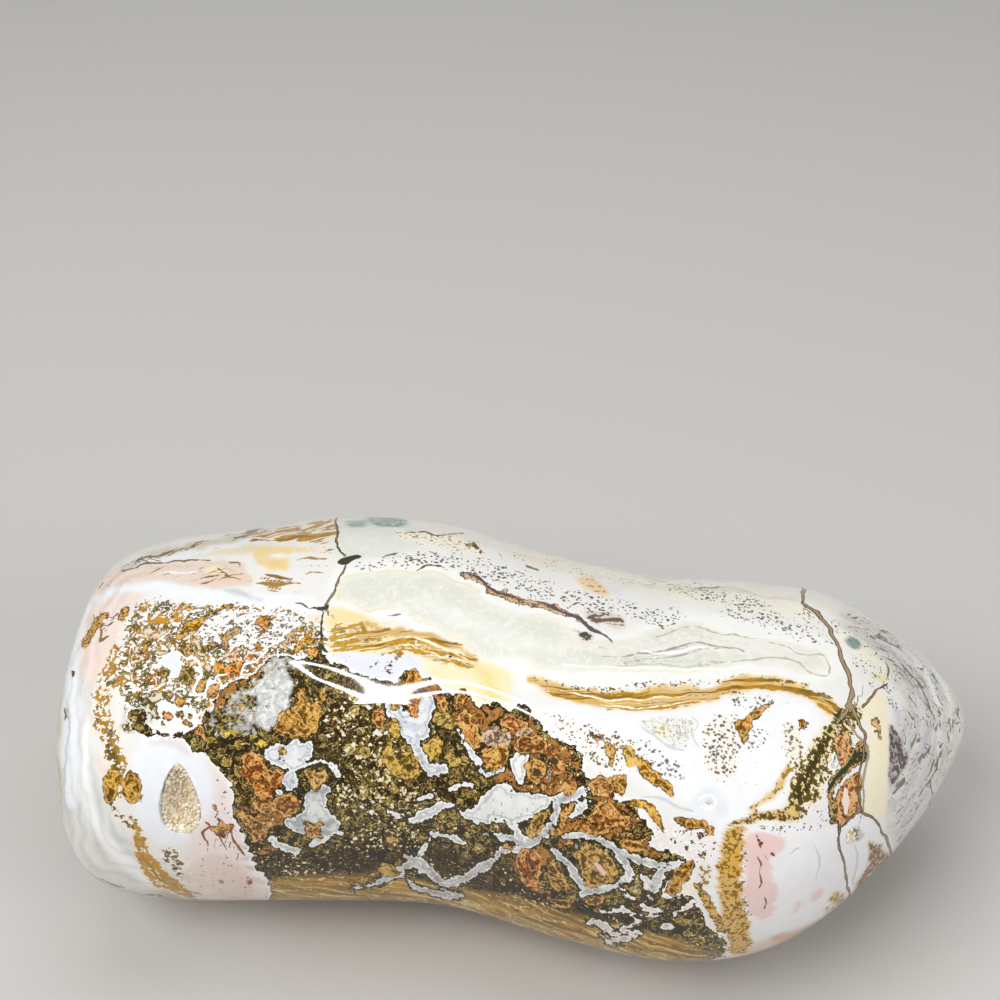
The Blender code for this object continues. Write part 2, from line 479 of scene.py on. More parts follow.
def draw(marks):
    """Draws a table of marks in turn. A row holds a tool, what the tool is given, and any named values."""
    for tool, *given in marks:
        values = given.pop() if isinstance(given[-1], dict) else {}
        tool(*given, **values)


# %% [markdown]
# ## The white agate
#
# Most of the stone is milky agate in soft bands. At both ends the bands run parallel to the outline.

# %% The far back, out of the eye's sight
FAR_BACK = (
    (tint, [(90, 545, 20), (234, 500, 26), (340, 488, 28), (447, 490, 28), (553, 526, 27), (660, 545, 26),
     (766, 556, 25), (855, 578, 22), (940, 630, 18)], 22, "E6E2D6", 6, {"bands": 0.6, "fleck": "8E7E5E",
     "share": 0.42, "grain": 1}),
    (tint, [(150, 512, 6), (300, 470, 9), (450, 462, 10), (600, 500, 8), (760, 530, 7), (900, 570, 6)], 14,
     "EFE3C6", 6, {"share": 0.6}),
    (tint, [(420, 440, 14), (560, 470, 16), (700, 510, 12)], 20, "DCE0D8", 6, {"dots": 1.2, "share": 0.2}),
)
draw(FAR_BACK)

# %% The blunt end, on the left
# The grey ground in the first row is partly painted shade: the blunt end faces away from the light, so its
# grey is made darker than the stone's own.
BLUNT_END = (
    (tint, [(50, 700), (66, 610), (110, 556), (150, 560), (112, 620), (92, 700), (100, 790), (140, 850),
     (220, 900), (150, 915), (60, 880)], 16, "D8D8D5", {"bands": 0.4}),
    (tint, [(62, 850, 5), (84, 876, 7), (110, 889, 8), (180, 902, 7), (290, 908, 5)], 8, "B5A185",
     {"bands": 0.4, "fleck": "6E5840", "share": 0.75, "grain": 1}),
    (tint, [(62, 840, 2), (59, 760, 2), (60, 680, 2), (70, 622, 2), (96, 584, 2), (140, 560, 2),
     (190, 545, 2)], 5, "BCAA8C", {"fleck": "7E6C48", "share": 0.5, "grain": 1}),
    (tint, [(72, 800, 6), (72, 720, 7), (78, 643, 6), (87, 616, 6), (113, 589, 6), (149, 586, 7),
     (186, 593, 8), (238, 603, 10), (312, 606, 8)], 8, "F1F5FB"),
    (tint, [(72, 830, 12), (110, 872, 12), (150, 892, 8)], 18, "E2DFD8"),
    (tint, [(98, 700, 4), (86, 740, 4), (88, 800, 5), (110, 846, 6), (150, 880, 5)], 8, "FAFAFB"),
    (tint, [(224, 590, 1), (240, 593, 2.4), (262, 600, 1)], 4, "C6CCCF"),
    (seam, "thread", [(66, 700, 0.3), (68, 735, 0.9), (64, 790, 0.9), (74, 836, 0.3)], "C9CACC"),
    (seam, "thread", [(63, 722, 0.3), (65, 716, 1), (63, 708, 0.3)], "5E564E"),
)
draw(BLUNT_END)

# %% The streams under the top edge, on the left
UPPER_STREAMS = (
    (tint, [(105, 572, 2), (150, 556, 3), (200, 545, 3), (260, 533, 4), (330, 524, 3)], 4, "D3CAB6",
     {"fleck": "8A744A", "share": 0.7, "grain": 1}),
    (tint, [(118, 576, 1), (160, 560, 2), (200, 552, 2), (250, 541, 1)], 3, "EEF1F6", {"share": 0.2}),
    (seam, "thread", [(133, 562, 0.3), (146, 558, 1), (160, 557, 0.3)], "6E6C50"),
    (tint, [(87, 600), (96, 586), (114, 571), (149, 564), (203, 561), (238, 562), (250, 574), (249, 585),
     (221, 587), (185, 583), (149, 581), (114, 587)], 5, "E6CFBC", 1, {"fleck": "9A7452", "share": 0.48,
     "grain": 0.9}),
)
draw(UPPER_STREAMS)
STREAM_LINES = (
    ([(121, 571, 0.3), (149, 564, 0.8), (185, 560, 0.8), (210, 561, 0.3)], "8A6E4E"),
    ([(156, 575, 0.3), (176, 573, 1), (199, 571, 0.4)], "F6F2EC"),
    ([(217, 567, 0.5), (223, 573, 1.5), (228, 577, 1), (242, 579, 0.4)], "9A6428"),
    ([(199, 579, 0.3), (210, 577, 0.8), (222, 576, 0.4)], "86603C"),
    ([(230, 561, 0.4), (237, 563, 0.9), (240, 566, 0.4)], "8A6A46"),
    ([(240, 534, 0.3), (252, 531, 1.4), (266, 527, 0.3)], "5E5C44"),
    ([(249, 542, 0.3), (258, 540, 1.6), (271, 541, 0.3)], "A06A20"),
    ([(274, 540, 0.3), (288, 539, 1.2), (300, 537, 1.4), (314, 537, 0.4)], "A8741E"),
    ([(297, 561, 0.3), (312, 558, 1), (331, 559, 0.4)], "A88A50"),
    ([(303, 575, 0.3), (314, 573, 0.8), (324, 572, 0.3)], "A88A58"),
    ([(260, 574, 0.3), (272, 576, 1.3), (292, 578, 0.4)], "94682E"),
    ([(255, 583, 0.5), (268, 584, 2), (284, 583, 2), (303, 583, 0.5)], "A8823C"),
    ([(267, 590, 0.3), (275, 590, 0.8), (281, 591, 0.3)], "B08C58"),
    ([(292, 604, 0.4), (302, 604, 0.9), (312, 608, 0.6)], "7A5C36"),
)
for line, colour in STREAM_LINES:
    seam("thread", line, colour)
STREAM_CLOUDS = (
    (tint, [(206, 568), (216, 565), (224, 569), (220, 574), (208, 573)], 3, "F6E8BC", 1),
    (tint, [(192, 556, 1), (220, 552, 3), (253, 549, 4)], 5, "E6D9B4"),
    (tint, [(253, 556), (256, 547), (275, 545), (290, 548), (288, 558), (290, 568), (276, 571), (262, 566)],
     6, "EFD38C"),
    (tint, [(258, 563, 1), (272, 564, 4), (286, 566, 2)], 6, "EDC46C"),
    (tint, [(289, 548, 1), (300, 550, 3), (314, 551, 1.5)], 5, "EBD9A8"),
    (tint, [(272, 555, 1.5), (279, 555, 2.5), (288, 556, 1)], 4, "F8F6F0"),
    (tint, [(255, 536), (300, 524), (335, 520), (336, 542), (300, 543)], 6, "F0E4CA", 1, {"fleck": "BE9654",
     "share": 0.8, "grain": 1}),
    (tint, [(319, 553), (322, 546), (334, 546), (334, 556)], 4, "F2E8D6", 1, {"fleck": "AC7A3A",
     "share": 0.7, "grain": 0.6}),
    (tint, [(296, 618), (306, 614), (320, 616), (322, 628), (302, 628)], 6, "F0DDB4", 1, {"fleck": "C8924A",
     "share": 0.7, "grain": 0.7}),
)
draw(STREAM_CLOUDS)

# %% The pink patch and its ochre islands
PINK_PATCH = (
    (tint, [(78, 664), (84, 625), (98, 604), (120, 594), (144, 596), (134, 620), (114, 650), (98, 680),
     (88, 682)], 9, "F0D9CB"),
    (crisp, "patch", [(83, 645), (87, 632), (93, 622), (103, 614), (108, 615), (103, 624), (94, 632),
     (87, 646)], "B4842A", 0.8),
    (crisp, "patch", [(119, 618), (121, 609), (133, 604), (128, 614), (123, 620)], "B4842A", 0.8),
    (seam, "thread", [(109, 617, 0.5), (114, 616, 0.8), (119, 612, 0.6)], "7A6238"),
    (seam, "thread", [(99, 628, 0.5), (101, 634, 0.9), (101, 642, 0.7), (106, 638, 0.8), (110, 636, 0.3)],
     "8A6A3C"),
    (seam, "thread", [(100, 626, 0.4), (108, 625, 0.6), (114, 621, 0.6)], "6E5A38"),
    (tint, [(101, 622, 1), (108, 619, 2.5), (113, 618, 1)], 3, "F6F1EA"),
    (tint, [(73, 667, 2), (74, 678, 3)], 3, "F4F4F4"),
    (seam, "thread", [(72, 670, 0.6), (74, 674, 1.5), (72, 678, 0.6)], "5C3A2E"),
)
draw(PINK_PATCH)

# %% [markdown]
# ## Lace
#
# Between the white agate and the dark heart the stone is lace: small cells filled with ochre, olive or
# nothing, with white walls. The layer `lace` says how many of the cells are filled.

# %% The lace field, on the left
LACE_FIELD = (
    (tint, [(136, 604), (160, 598), (200, 604), (270, 606), (318, 622), (322, 650), (280, 660), (262, 690),
     (240, 735), (190, 732), (150, 722), (120, 700), (112, 668), (120, 640)], 14, "F3EEE6", 2,
     {"fleck": "B98A2E", "lace": 1, "share": 0.62}),
    (tint, [(200, 636), (206, 616), (236, 608), (262, 610), (300, 620), (286, 636), (262, 650), (240, 646),
     (224, 652)], 9, "F3EDE9", 2, {"fleck": "8A7048", "lace": 0.5, "share": 0.25, "dots": 1.25}),
    (tint, [(118, 650, 6), (106, 680, 10), (102, 712, 10), (110, 738, 10), (120, 762, 10), (120, 790, 10)],
     10, "F1E2CC", 4, {"fleck": "B98A26", "share": 0.8, "lace": 0.6}),
    (tint, [(142, 626, 1), (156, 620, 4), (177, 618, 4)], 6, "F4E8CC", 2, {"fleck": "CC9630", "share": 1,
     "grain": 0.3, "lace": 0.3}),
    (tint, [(130, 706), (140, 694), (158, 706), (154, 722), (140, 732), (120, 730)], 7, "A9A684", 3,
     {"fleck": "4C4C2A", "share": 1, "lace": 0.9}),
    (tint, [(106, 742, 3), (114, 756, 5), (118, 770, 4)], 6, "EADCC0", 2, {"fleck": "6A5A28", "share": 1,
     "lace": 0.5}),
    (crisp, "patch", [(104, 772), (112, 768), (120, 776), (118, 790), (112, 806), (104, 800)], "CE9A2C", 3),
    (crisp, "patch", [(126, 774), (134, 772), (142, 786), (140, 798), (130, 804), (124, 792)], "CE9A2C", 3),
    (tint, [(112, 808, 3), (130, 822, 5), (150, 834, 5)], 8, "F1E6D8", 3, {"fleck": "6E5E34", "share": 0.85,
     "lace": 0.3}),
    (tint, [(134, 822), (146, 836), (156, 858), (176, 878), (206, 892), (192, 898), (158, 886), (138, 866),
     (134, 844)], 5, "EFDDB2", 2, {"fleck": "C8963A", "share": 0.95, "grain": 0.6}),
    (tint, [(160, 846), (176, 850), (186, 868), (198, 884), (184, 884), (168, 868)], 6, "EFE3D6", 3,
     {"fleck": "7C6632", "share": 0.75, "lace": 0.3}),
    (seam, "thread", [(136, 836, 0.3), (143, 858, 0.9), (162, 880, 0.9), (190, 893, 0.3)], "A87E2C"),
    (seam, "thread", [(146, 846, 0.3), (158, 868, 0.8), (180, 886, 0.8), (204, 895, 0.3)], "B88A34"),
    (tint, [(94, 718, 5), (104, 736, 6)], 9, "F3DECE"),
    (tint, [(98, 762, 4), (104, 770, 4)], 8, "F1DBCB"),
    (crisp, "patch", [(181, 637, 4), (189, 627, 5), (205, 617, 3.4), (220, 610, 2.2), (232, 605, 1.6)],
     "D49A2C", 2.2),
)
draw(LACE_FIELD)
LACE_ISLANDS = (
    ("C07E1C", [(255, 624), (260, 619), (265, 617), (273, 619), (269, 624), (268, 630), (261, 627)]),
    ("A06A2E", [(277, 628), (280, 625), (284, 627), (280, 630)]),
    ("A0602A", [(139, 652), (144, 644), (151, 641), (148, 649), (142, 653)]),
    ("5E5C30", [(180, 650), (186, 643), (194, 644), (193, 652), (185, 655)]),
    ("8E8A72", [(222, 648), (224, 634), (232, 628), (240, 624), (240, 632), (232, 640), (228, 652)]),
    ("A06A3A", [(210, 644), (216, 641), (218, 646), (212, 647)]),
    ("6A5224", [(202, 652), (207, 647), (210, 652), (204, 655)]),
    ("B4782E", [(253, 645), (256, 641), (261, 645), (258, 650)]),
    ("A8A598", [(284, 641), (291, 634), (298, 636), (294, 643), (287, 645)]),
    ("F0C058", [(291, 649), (298, 642), (308, 640), (306, 647), (296, 651)]),
    ("E08844", [(285, 649), (291, 646), (293, 652), (287, 653)]),
    ("B88028", [(303, 641), (310, 636), (320, 638), (316, 643)]),
    ("E07C3C", [(309, 654), (314, 647), (321, 648), (317, 657)]),
    ("EA8630", [(224, 672), (226, 662), (234, 660), (241, 662), (239, 672), (231, 677)]),
    ("D0902A", [(213, 676), (216, 664), (221, 664), (222, 674), (217, 679)]),
    ("CE8852", [(209, 690), (214, 684), (220, 687), (216, 697), (211, 696)]),
    ("AC7C3A", [(196, 690), (200, 679), (206, 680), (204, 692)]),
    ("B45E22", [(162, 720), (166, 712), (173, 718), (168, 722)]),
    ("5E5C32", [(175, 714), (179, 708), (184, 713), (180, 718)]),
    ("5C5232", [(188, 716), (191, 712), (194, 716), (191, 718)]),
    ("84462A", [(185, 722), (188, 717), (194, 722), (190, 728)]),
    ("B4703A", [(196, 732), (202, 724), (208, 734), (204, 740)]),
    ("8C7A38", [(156, 676), (162, 668), (168, 672), (164, 680)]),
    ("7A7238", [(180, 676), (186, 666), (194, 670), (192, 682), (184, 684)]),
    ("BC8A30", [(174, 702), (180, 696), (186, 700), (180, 706)]),
)
for colour, outline in LACE_ISLANDS:
    crisp("patch", outline, colour, rough=1.6)
LACE_POOLS = (
    (tint, [(222, 676), (226, 656), (240, 650), (262, 648), (262, 668), (244, 682)], 7, "E6B07A", 3,
     {"fleck": "B8662A", "share": 0.6, "lace": 0.9}),
    (tint, [(158, 664), (170, 654), (178, 652), (179, 672), (174, 680), (160, 674)], 4, "E6EDF6", 1,
     {"lace": 0, "share": 0, "dots": 0}),
    (tint, [(158, 704), (176, 702), (196, 712), (198, 728), (186, 732), (164, 724)], 5, "F8F4F0", 1,
     {"lace": 0.1, "share": 0.1}),
)
draw(LACE_POOLS)
LACE_WALLS = (
    [(177, 651, 0.8), (189, 658, 1.2), (194, 657, 1.2), (200, 662, 1.2), (201, 675, 1.2), (196, 685, 1.1),
     (194, 694, 0.9)],
    [(188, 694, 0.6), (198, 696, 1.2), (207, 690, 1.2), (208, 680, 1.2), (214, 682, 1.2), (217, 675, 1.1),
     (227, 674, 0.7)],
    [(148, 690, 0.6), (158, 688, 1.1), (167, 684, 0.8)],
    [(232, 650, 0.6), (240, 640, 1.1), (243, 632, 0.8)],
    [(258, 655, 0.6), (268, 648, 1.1), (280, 640, 1.1), (286, 630, 0.8)],
    [(240, 676, 0.6), (244, 664, 1), (256, 660, 1), (268, 652, 0.6)],
)
for line in LACE_WALLS:
    seam("thread", line, "FDFCFA")

# %% The halo round the hollow, and the pink agate beside it
HALO = (
    (tint, [(133, 760), (148, 736), (178, 740), (205, 762), (216, 790), (212, 818), (196, 836), (170, 846),
     (148, 834), (130, 800)], 10, "F0F3F8", 1, {"share": 0, "lace": 0}),
    (tint, [(152, 742, 2), (172, 742, 5), (192, 752, 3)], 8, "E4DADA"),
    (tint, [(170, 766, 3), (184, 776, 4), (194, 794, 4), (196, 812, 3)], 5, "FAFAFC"),
    (tint, [(205, 752), (222, 780), (236, 812), (246, 842), (262, 880), (268, 900), (200, 898), (186, 860),
     (196, 830), (214, 800)], 12, "EFE0DA", {"fleck": "7C6A5C", "share": 0.25}),
    (tint, [(180, 880), (210, 856), (240, 866), (256, 890), (230, 902)], 10, "E6CFC2", {"fleck": "6E5A4A",
     "share": 0.3}),
)
draw(HALO)
HALO_SPECKS = (
    (217, 781, 1.6, "5E5856"),
    (225, 792, 1.6, "5E5856"),
    (223, 803, 1.5, "6A4A3A"),
    (229, 812, 1.1, "6A625E"),
    (224, 864, 1.2, "6A5A50"),
    (236, 858, 1, "6B6460"),
    (232, 866, 0.9, "6B6460"),
    (250, 883, 2, "9A5A36"),
    (247, 878, 1.2, "9A5A36"),
    (222, 881, 2.2, "A8926E"),
)
for x, y, radius, colour in HALO_SPECKS:
    dot(x, y, radius, colour)
HALO_ISLANDS = (
    (crisp, "patch", [(213, 806), (216, 805), (220, 816), (216, 820)], "A0602A", 1),
    (crisp, "patch", [(209, 826), (216, 824), (221, 818), (223, 825), (231, 825), (228, 833), (219, 837),
     (213, 832)], "A8682A", 1.2),
)
draw(HALO_ISLANDS)
HALO_VEINS = (
    [(204, 820, 0.8), (210, 825, 1), (203, 832, 1.2), (208, 842, 0.8), (209, 851, 0.4)],
    [(229, 823, 0.8), (232, 836, 1), (238, 846, 1.4), (247, 856, 0.4)],
    [(219, 836, 0.8), (223, 845, 0.8), (226, 850, 0.3)],
)
for line in HALO_VEINS:
    seam("thread", line, "8E5430")

# %% [markdown]
# ## The big agate lens
#
# Celadon agate with a pale rim runs from the left crack to the right one, and narrows into bands.

# %% The celadon lens
LENS = [
    (338, 594), (341, 582), (352, 574), (372, 571), (412, 571), (440, 573), (457, 580), (473, 588),
    (489, 600), (508, 610), (534, 614), (561, 620), (573, 631), (587, 641), (606, 643), (626, 640),
    (655, 628), (690, 622), (728, 634), (766, 640), (800, 645), (826, 655), (826, 668), (808, 674),
    (780, 666), (740, 664), (700, 672), (650, 673), (600, 672), (560, 671), (536, 671), (528, 660),
    (505, 658), (490, 662), (473, 649), (454, 638), (435, 628), (416, 622), (406, 613), (396, 608),
    (377, 610), (368, 613), (352, 603), (340, 601),
]
lens = distance(LENS)
LENS_SURROUND = (
    (tint, [(325, 600), (345, 566), (440, 562), (500, 592), (560, 610), (610, 636), (690, 612), (830, 640),
     (840, 675), (790, 684), (700, 684), (530, 690), (470, 670), (400, 622), (345, 616)], 12, "F5F5F0",
     {"share": 0, "lace": 0}),
)
draw(LENS_SURROUND)
tint(LENS, 2.5, ground="ECEADA")
tint(LENS, 12, veil=1)
YELLOW_RIM_ENDS = 480  # pixels from the left, as far as the lens has a thin yellow rim
inside = np.clip((lens - 3) / 5, 0, 1)
rim = 0.75 * np.clip(1 - np.abs(lens - 0.8) / 1.2, 0, 1) * (picture[:, 0] < YELLOW_RIM_ENDS)
for cover, colour in ((inside, "DFE0D2"), (rim, "E6D894")):
    layers["ground"] += (linear(colour) - layers["ground"]) * cover[:, None]
LENS_CLOUDS = (
    (tint, [(420, 600, 6), (470, 622, 9), (510, 640, 9), (560, 650, 5)], 16, "E9EBE0"),
    (tint, [(560, 640, 4), (640, 648, 7), (700, 642, 7), (800, 656, 7)], 6, "EAE6DC"),
)
draw(LENS_CLOUDS)
LENS_LINES = (
    ([(600, 656, 0.3), (640, 654, 0.6), (672, 648, 0.8), (700, 643, 0.8), (730, 647, 0.6), (745, 652, 0.3)],
     "A8A296"),
    ([(620, 662, 0.3), (668, 657, 0.6), (700, 651, 0.6), (716, 647, 0.3)], "B4AEA2"),
    ([(700, 662, 0.3), (745, 660, 0.7), (775, 656, 0.7), (797, 661, 0.7), (808, 671, 0.8), (826, 675, 0.7),
     (829, 664, 0.7), (822, 656, 0.6), (800, 654, 0.5), (787, 648, 0.5), (766, 643, 0.3)], "C4BEB0"),
    ([(655, 636, 0.3), (690, 628, 0.6), (724, 634, 0.6), (760, 640, 0.3)], "C4BEB0"),
    ([(606, 666, 0.3), (650, 665, 0.6), (700, 666, 0.6), (730, 660, 0.3)], "C9C9B8"),
    ([(640, 651, 0.4), (672, 652, 1.4), (704, 648, 1.2), (722, 649, 0.4)], "FFFFFC"),
    ([(560, 664, 0.6), (620, 668, 1.4), (690, 669, 1.4), (740, 668, 0.8)], "FBFBF6"),
)
for line, colour in LENS_LINES:
    seam("thread", line, colour)
LENS_FLECK = (
    (seam, "thread", [(389, 616, 0.6), (396, 616, 1.2), (401, 615, 0.6)], "7A8060"),
)
draw(LENS_FLECK)

# %% Yellow clouds and ochre bands below the lens
YELLOW_CLOUDS = (
    (tint, [(427, 660), (462, 662), (484, 662), (506, 668), (512, 684), (505, 704), (480, 706), (450, 690),
     (430, 674)], 14, "F6E7B4", {"share": 0, "lace": 0}),
    (tint, [(476, 668, 5), (488, 680, 8), (492, 700, 6)], 12, "F6D88E"),
    (tint, [(498, 661, 4), (514, 664, 6), (526, 668, 3)], 5, "FAF9F6"),
    (tint, [(326, 618), (334, 608), (356, 612), (368, 620), (356, 626), (332, 630)], 6, "F5DE9A"),
    (tint, [(330, 650), (331, 626), (350, 622), (384, 622), (406, 630), (444, 636), (470, 650), (480, 662),
     (466, 668), (440, 662), (406, 654), (366, 654)], 6, "F1DFA6", 3, {"fleck": "CB9A2C", "share": 0.9,
     "grain": 0.7, "lace": 0.3}),
)
draw(YELLOW_CLOUDS)
LEFT_OCHRE = (
    [(364, 624, 1.4), (383, 628, 3), (406, 633, 2.8), (427, 635, 2.6), (446, 642, 2.4), (463, 651, 2),
     (476, 660, 1)],
    [(362, 636, 1.4), (384, 632, 2.4), (404, 637, 2.2)],
    [(406, 640, 0.8), (424, 643, 1.8), (444, 652, 1.8), (466, 664, 0.8)],
    [(340, 628, 1), (352, 632, 2), (360, 640, 1.6), (350, 646, 1)],
    [(360, 646, 1), (376, 644, 1.8), (396, 648, 1)],
    [(418, 652, 0.8), (430, 656, 1.6), (444, 662, 0.8)],
)
for line in LEFT_OCHRE:
    tint(line, 2.2, rough=1.8, ground="D3A02C", fleck="8C661E", share=0.62, grain=1, lace=0)
LEFT_OCHRE_THREADS = (
    [(400, 637, 0.3), (424, 640, 0.8), (446, 649, 0.8), (468, 660, 0.3)],
    [(410, 645, 0.3), (430, 651, 0.8), (452, 662, 0.3)],
)
for line in LEFT_OCHRE_THREADS:
    seam("thread", line, "FBF0D2")
BLUE_POOL = (
    (tint, [(332, 656), (370, 654), (410, 656), (420, 668), (392, 680), (340, 676)], 7, "E2E7F0",
     {"fleck": "6E5048", "share": 0.3, "lace": 0}),
)
draw(BLUE_POOL)
POOL_SPECKS = (
    (373, 667, 1.8, "55504E"),
    (380, 662, 1.5, "7A4250"),
    (391, 666, 1.8, "8A3A34"),
    (389, 673, 1.5, "5A4A44"),
    (397, 660, 1.4, "7A5A20"),
    (400, 654, 2.4, "A87A28"),
    (384, 671, 1, "6A5A54"),
)
for x, y, radius, colour in POOL_SPECKS:
    dot(x, y, radius, colour)
RIGHT_OCHRE_GROUND = (
    (tint, [(528, 676), (560, 684), (600, 690), (640, 690), (661, 686), (690, 686), (709, 688), (728, 680),
     (750, 676), (787, 680), (812, 689), (832, 700), (842, 714), (826, 714), (806, 700), (780, 692),
     (750, 690), (724, 697), (693, 706), (650, 711), (610, 709), (570, 700), (538, 688)], 5, "E8C060", 3,
     {"fleck": "BE8A24", "share": 0.95, "grain": 0.8}),
)
draw(RIGHT_OCHRE_GROUND)
RIGHT_OCHRE = (
    [(526, 678, 1), (555, 690, 2.6), (590, 701, 3.2), (625, 704, 3.2), (660, 701, 2.8), (700, 699, 2.2),
     (730, 690, 2.2), (752, 683, 2.4), (772, 683, 1)],
    [(640, 696, 1.2), (665, 692, 1.8), (700, 693, 1.8), (730, 683, 1.4), (748, 679, 1)],
    [(780, 685, 1), (806, 693, 2), (826, 703, 2.2), (838, 715, 1.4)],
    [(552, 684, 0.8), (580, 692, 1.4), (610, 696, 1.4), (640, 698, 0.8)],
)
for line in RIGHT_OCHRE:
    tint(line, 3.4, rough=1.8, ground="D2A02A", fleck="8C661E", share=0.6, grain=1)
RIGHT_OCHRE_THREADS = (
    [(560, 689, 0.3), (590, 696, 0.9), (620, 700, 0.9), (660, 697, 0.8), (690, 696, 0.3)],
    [(600, 704, 0.3), (630, 708, 0.8), (660, 706, 0.8), (690, 702, 0.3)],
)
for line in RIGHT_OCHRE_THREADS:
    seam("thread", line, "FBF0D2")
OCHRE_SPECKS = (
    (tint, [(545, 682, 2), (580, 687, 3), (620, 688, 3), (660, 684, 3), (700, 683, 3), (740, 676, 2)], 4,
     None, 3, {"fleck": "7A642C", "share": 0.62, "dots": 0.9}),
    (tint, [(764, 680, 2), (800, 686, 4), (830, 700, 4)], 6, None, 3, {"fleck": "7A642C", "share": 0.7,
     "dots": 0.7}),
)
draw(OCHRE_SPECKS)

# %% [markdown]
# ## The white field on the right
#
# White agate with clusters of brown specks, a few ochre islands and a pale flush of druse.

# %% The right middle
RIGHT_MIDDLE = (
    (tint, [(540, 706), (600, 716), (680, 712), (760, 696), (810, 706), (820, 740), (800, 770), (780, 810),
     (730, 825), (690, 805), (650, 790), (600, 750), (560, 730)], 14, "F2F3F5", {"share": 0.05}),
    (tint, [(560, 712, 6), (620, 722, 9), (680, 722, 5)], 12, "EFF1F6"),
    (tint, [(548, 712), (580, 722), (610, 730), (640, 744), (646, 768), (616, 772), (594, 768), (572, 748),
     (552, 730)], 7, "F8F3EC", 3, {"fleck": "8A6636", "share": 0.42, "lace": 0.25, "dots": 0.9}),
    (tint, [(706, 722), (718, 714), (738, 720), (742, 745), (735, 776), (712, 778), (704, 760)], 6, "F4ECE4",
     3, {"fleck": "B08A4A", "share": 0.4, "dots": 1.35}),
    (tint, [(742, 732), (756, 728), (766, 736), (758, 750), (746, 748)], 5, None, 2, {"fleck": "A8905A",
     "share": 0.4, "dots": 1.35}),
    (tint, [(729, 694), (750, 692), (768, 698), (758, 710), (736, 708)], 5, None, 2, {"fleck": "A8905A",
     "share": 0.3, "dots": 1.3}),
    (tint, [(784, 728), (794, 722), (802, 742), (800, 772), (788, 768)], 5, "F4EBD8", 3, {"fleck": "B08A3A",
     "share": 0.5, "dots": 1.35}),
    (tint, [(640, 742), (668, 752), (684, 776), (668, 780), (645, 770)], 6, None, 3, {"fleck": "A8843C",
     "share": 0.42, "dots": 1.3}),
    (crisp, "patch", [(735, 722), (744, 721), (752, 715), (762, 706), (774, 700), (768, 709), (756, 722),
     (748, 730), (744, 744), (739, 736)], "BE8324", 1),
    (crisp, "patch", [(797, 722), (802, 719), (808, 724), (806, 731), (799, 729)], "B87E22", 1),
    (crisp, "patch", [(640, 758), (652, 766), (664, 779), (673, 788), (672, 798), (660, 790), (648, 780),
     (640, 772)], "DBA232", 2),
    (crisp, "patch", [(606, 742), (613, 741), (614, 756), (610, 768), (606, 758)], "A87A3A", 1),
    (crisp, "patch", [(614, 776), (626, 774), (627, 786), (622, 796), (616, 788)], "B07E26", 0.8),
    (crisp, "patch", [(622, 750), (630, 746), (637, 758), (628, 764)], "E4BC62", 1.8),
    (crisp, "patch", [(592, 733, 1.2), (599, 738, 2), (604, 736, 1)], "B07A4A", 1),
    (tint, [(640, 722), (668, 716), (692, 722), (690, 742), (676, 750), (656, 738)], 8, "ECEAE4",
     {"fleck": "FFFFFF", "share": 0.7}),
    (tint, [(652, 728), (664, 724), (672, 732), (662, 738)], 6, "EFE6CC", {"fleck": "C9B884", "share": 0.6}),
)
draw(RIGHT_MIDDLE)
GREY_ARCS = (
    [(636, 722, 0.4), (656, 738, 1.2), (674, 748, 1.4), (688, 752, 0.5)],
    [(690, 716, 0.4), (697, 724, 1.1), (692, 736, 1.1), (698, 748, 0.5)],
    [(640, 796, 0.6), (661, 800, 1.6), (682, 808, 1.6), (694, 812, 0.8)],
)
for line in GREY_ARCS:
    seam("thread", line, "D3D6DA")
SMALL_EYE = (
    (tint, [(690, 816, 2), (698, 800, 6), (712, 794, 7), (722, 806, 6), (722, 818, 3)], 6, "E6E9EE"),
    (seam, "thread", [(698, 802, 0.8), (703, 795, 1.1), (712, 795, 1.1), (716, 802, 1.1), (709, 809, 1.1),
     (700, 807, 0.8)], "FBFBFD"),
    (seam, "thread", [(704, 801, 0.4), (709, 804, 0.9)], "6E625A"),
)
draw(SMALL_EYE)

# %% [markdown]
# ## The speckled roof
#
# The top of the stone is white with clouds of cream, sprinkled with dark dots in long clusters.

# %% The roof
ROOF_LEFT = (
    (tint, [(338, 556), (338, 519), (372, 516), (410, 517), (430, 530), (412, 548), (372, 558)], 8, "DEE2D6",
     {"veil": 0.6}),
    (tint, [(366, 519), (390, 516), (405, 520), (402, 525), (384, 526)], 2.5, "4E7A70", 1),
    (tint, [(348, 522), (366, 521), (366, 526), (352, 526)], 2.5, "7E9A90", 1),
    (tint, [(410, 519), (450, 524), (500, 545), (470, 548), (430, 536)], 10, "ECE9DE"),
    (tint, [(400, 534, 4), (440, 540, 7), (480, 550, 6)], 9, "F8F0DA", {"fleck": "A58A50", "share": 0.45,
     "dots": 0.6}),
    (seam, "thread", [(406, 532, 0.4), (427, 531, 0.8), (435, 535, 0.8), (465, 534, 0.3)], "6E6656"),
    (seam, "thread", [(380, 558, 0.4), (390, 554, 0.8), (399, 552, 0.4)], "5E5E4C"),
    (seam, "thread", [(417, 570, 0.4), (426, 566, 0.9), (433, 566, 1), (446, 568, 0.4)], "5E5E48"),
    (crisp, "patch", [(468, 546, 0.8), (474, 543, 1.4), (479, 551, 1)], "8A7A3C", 2),
)
draw(ROOF_LEFT)
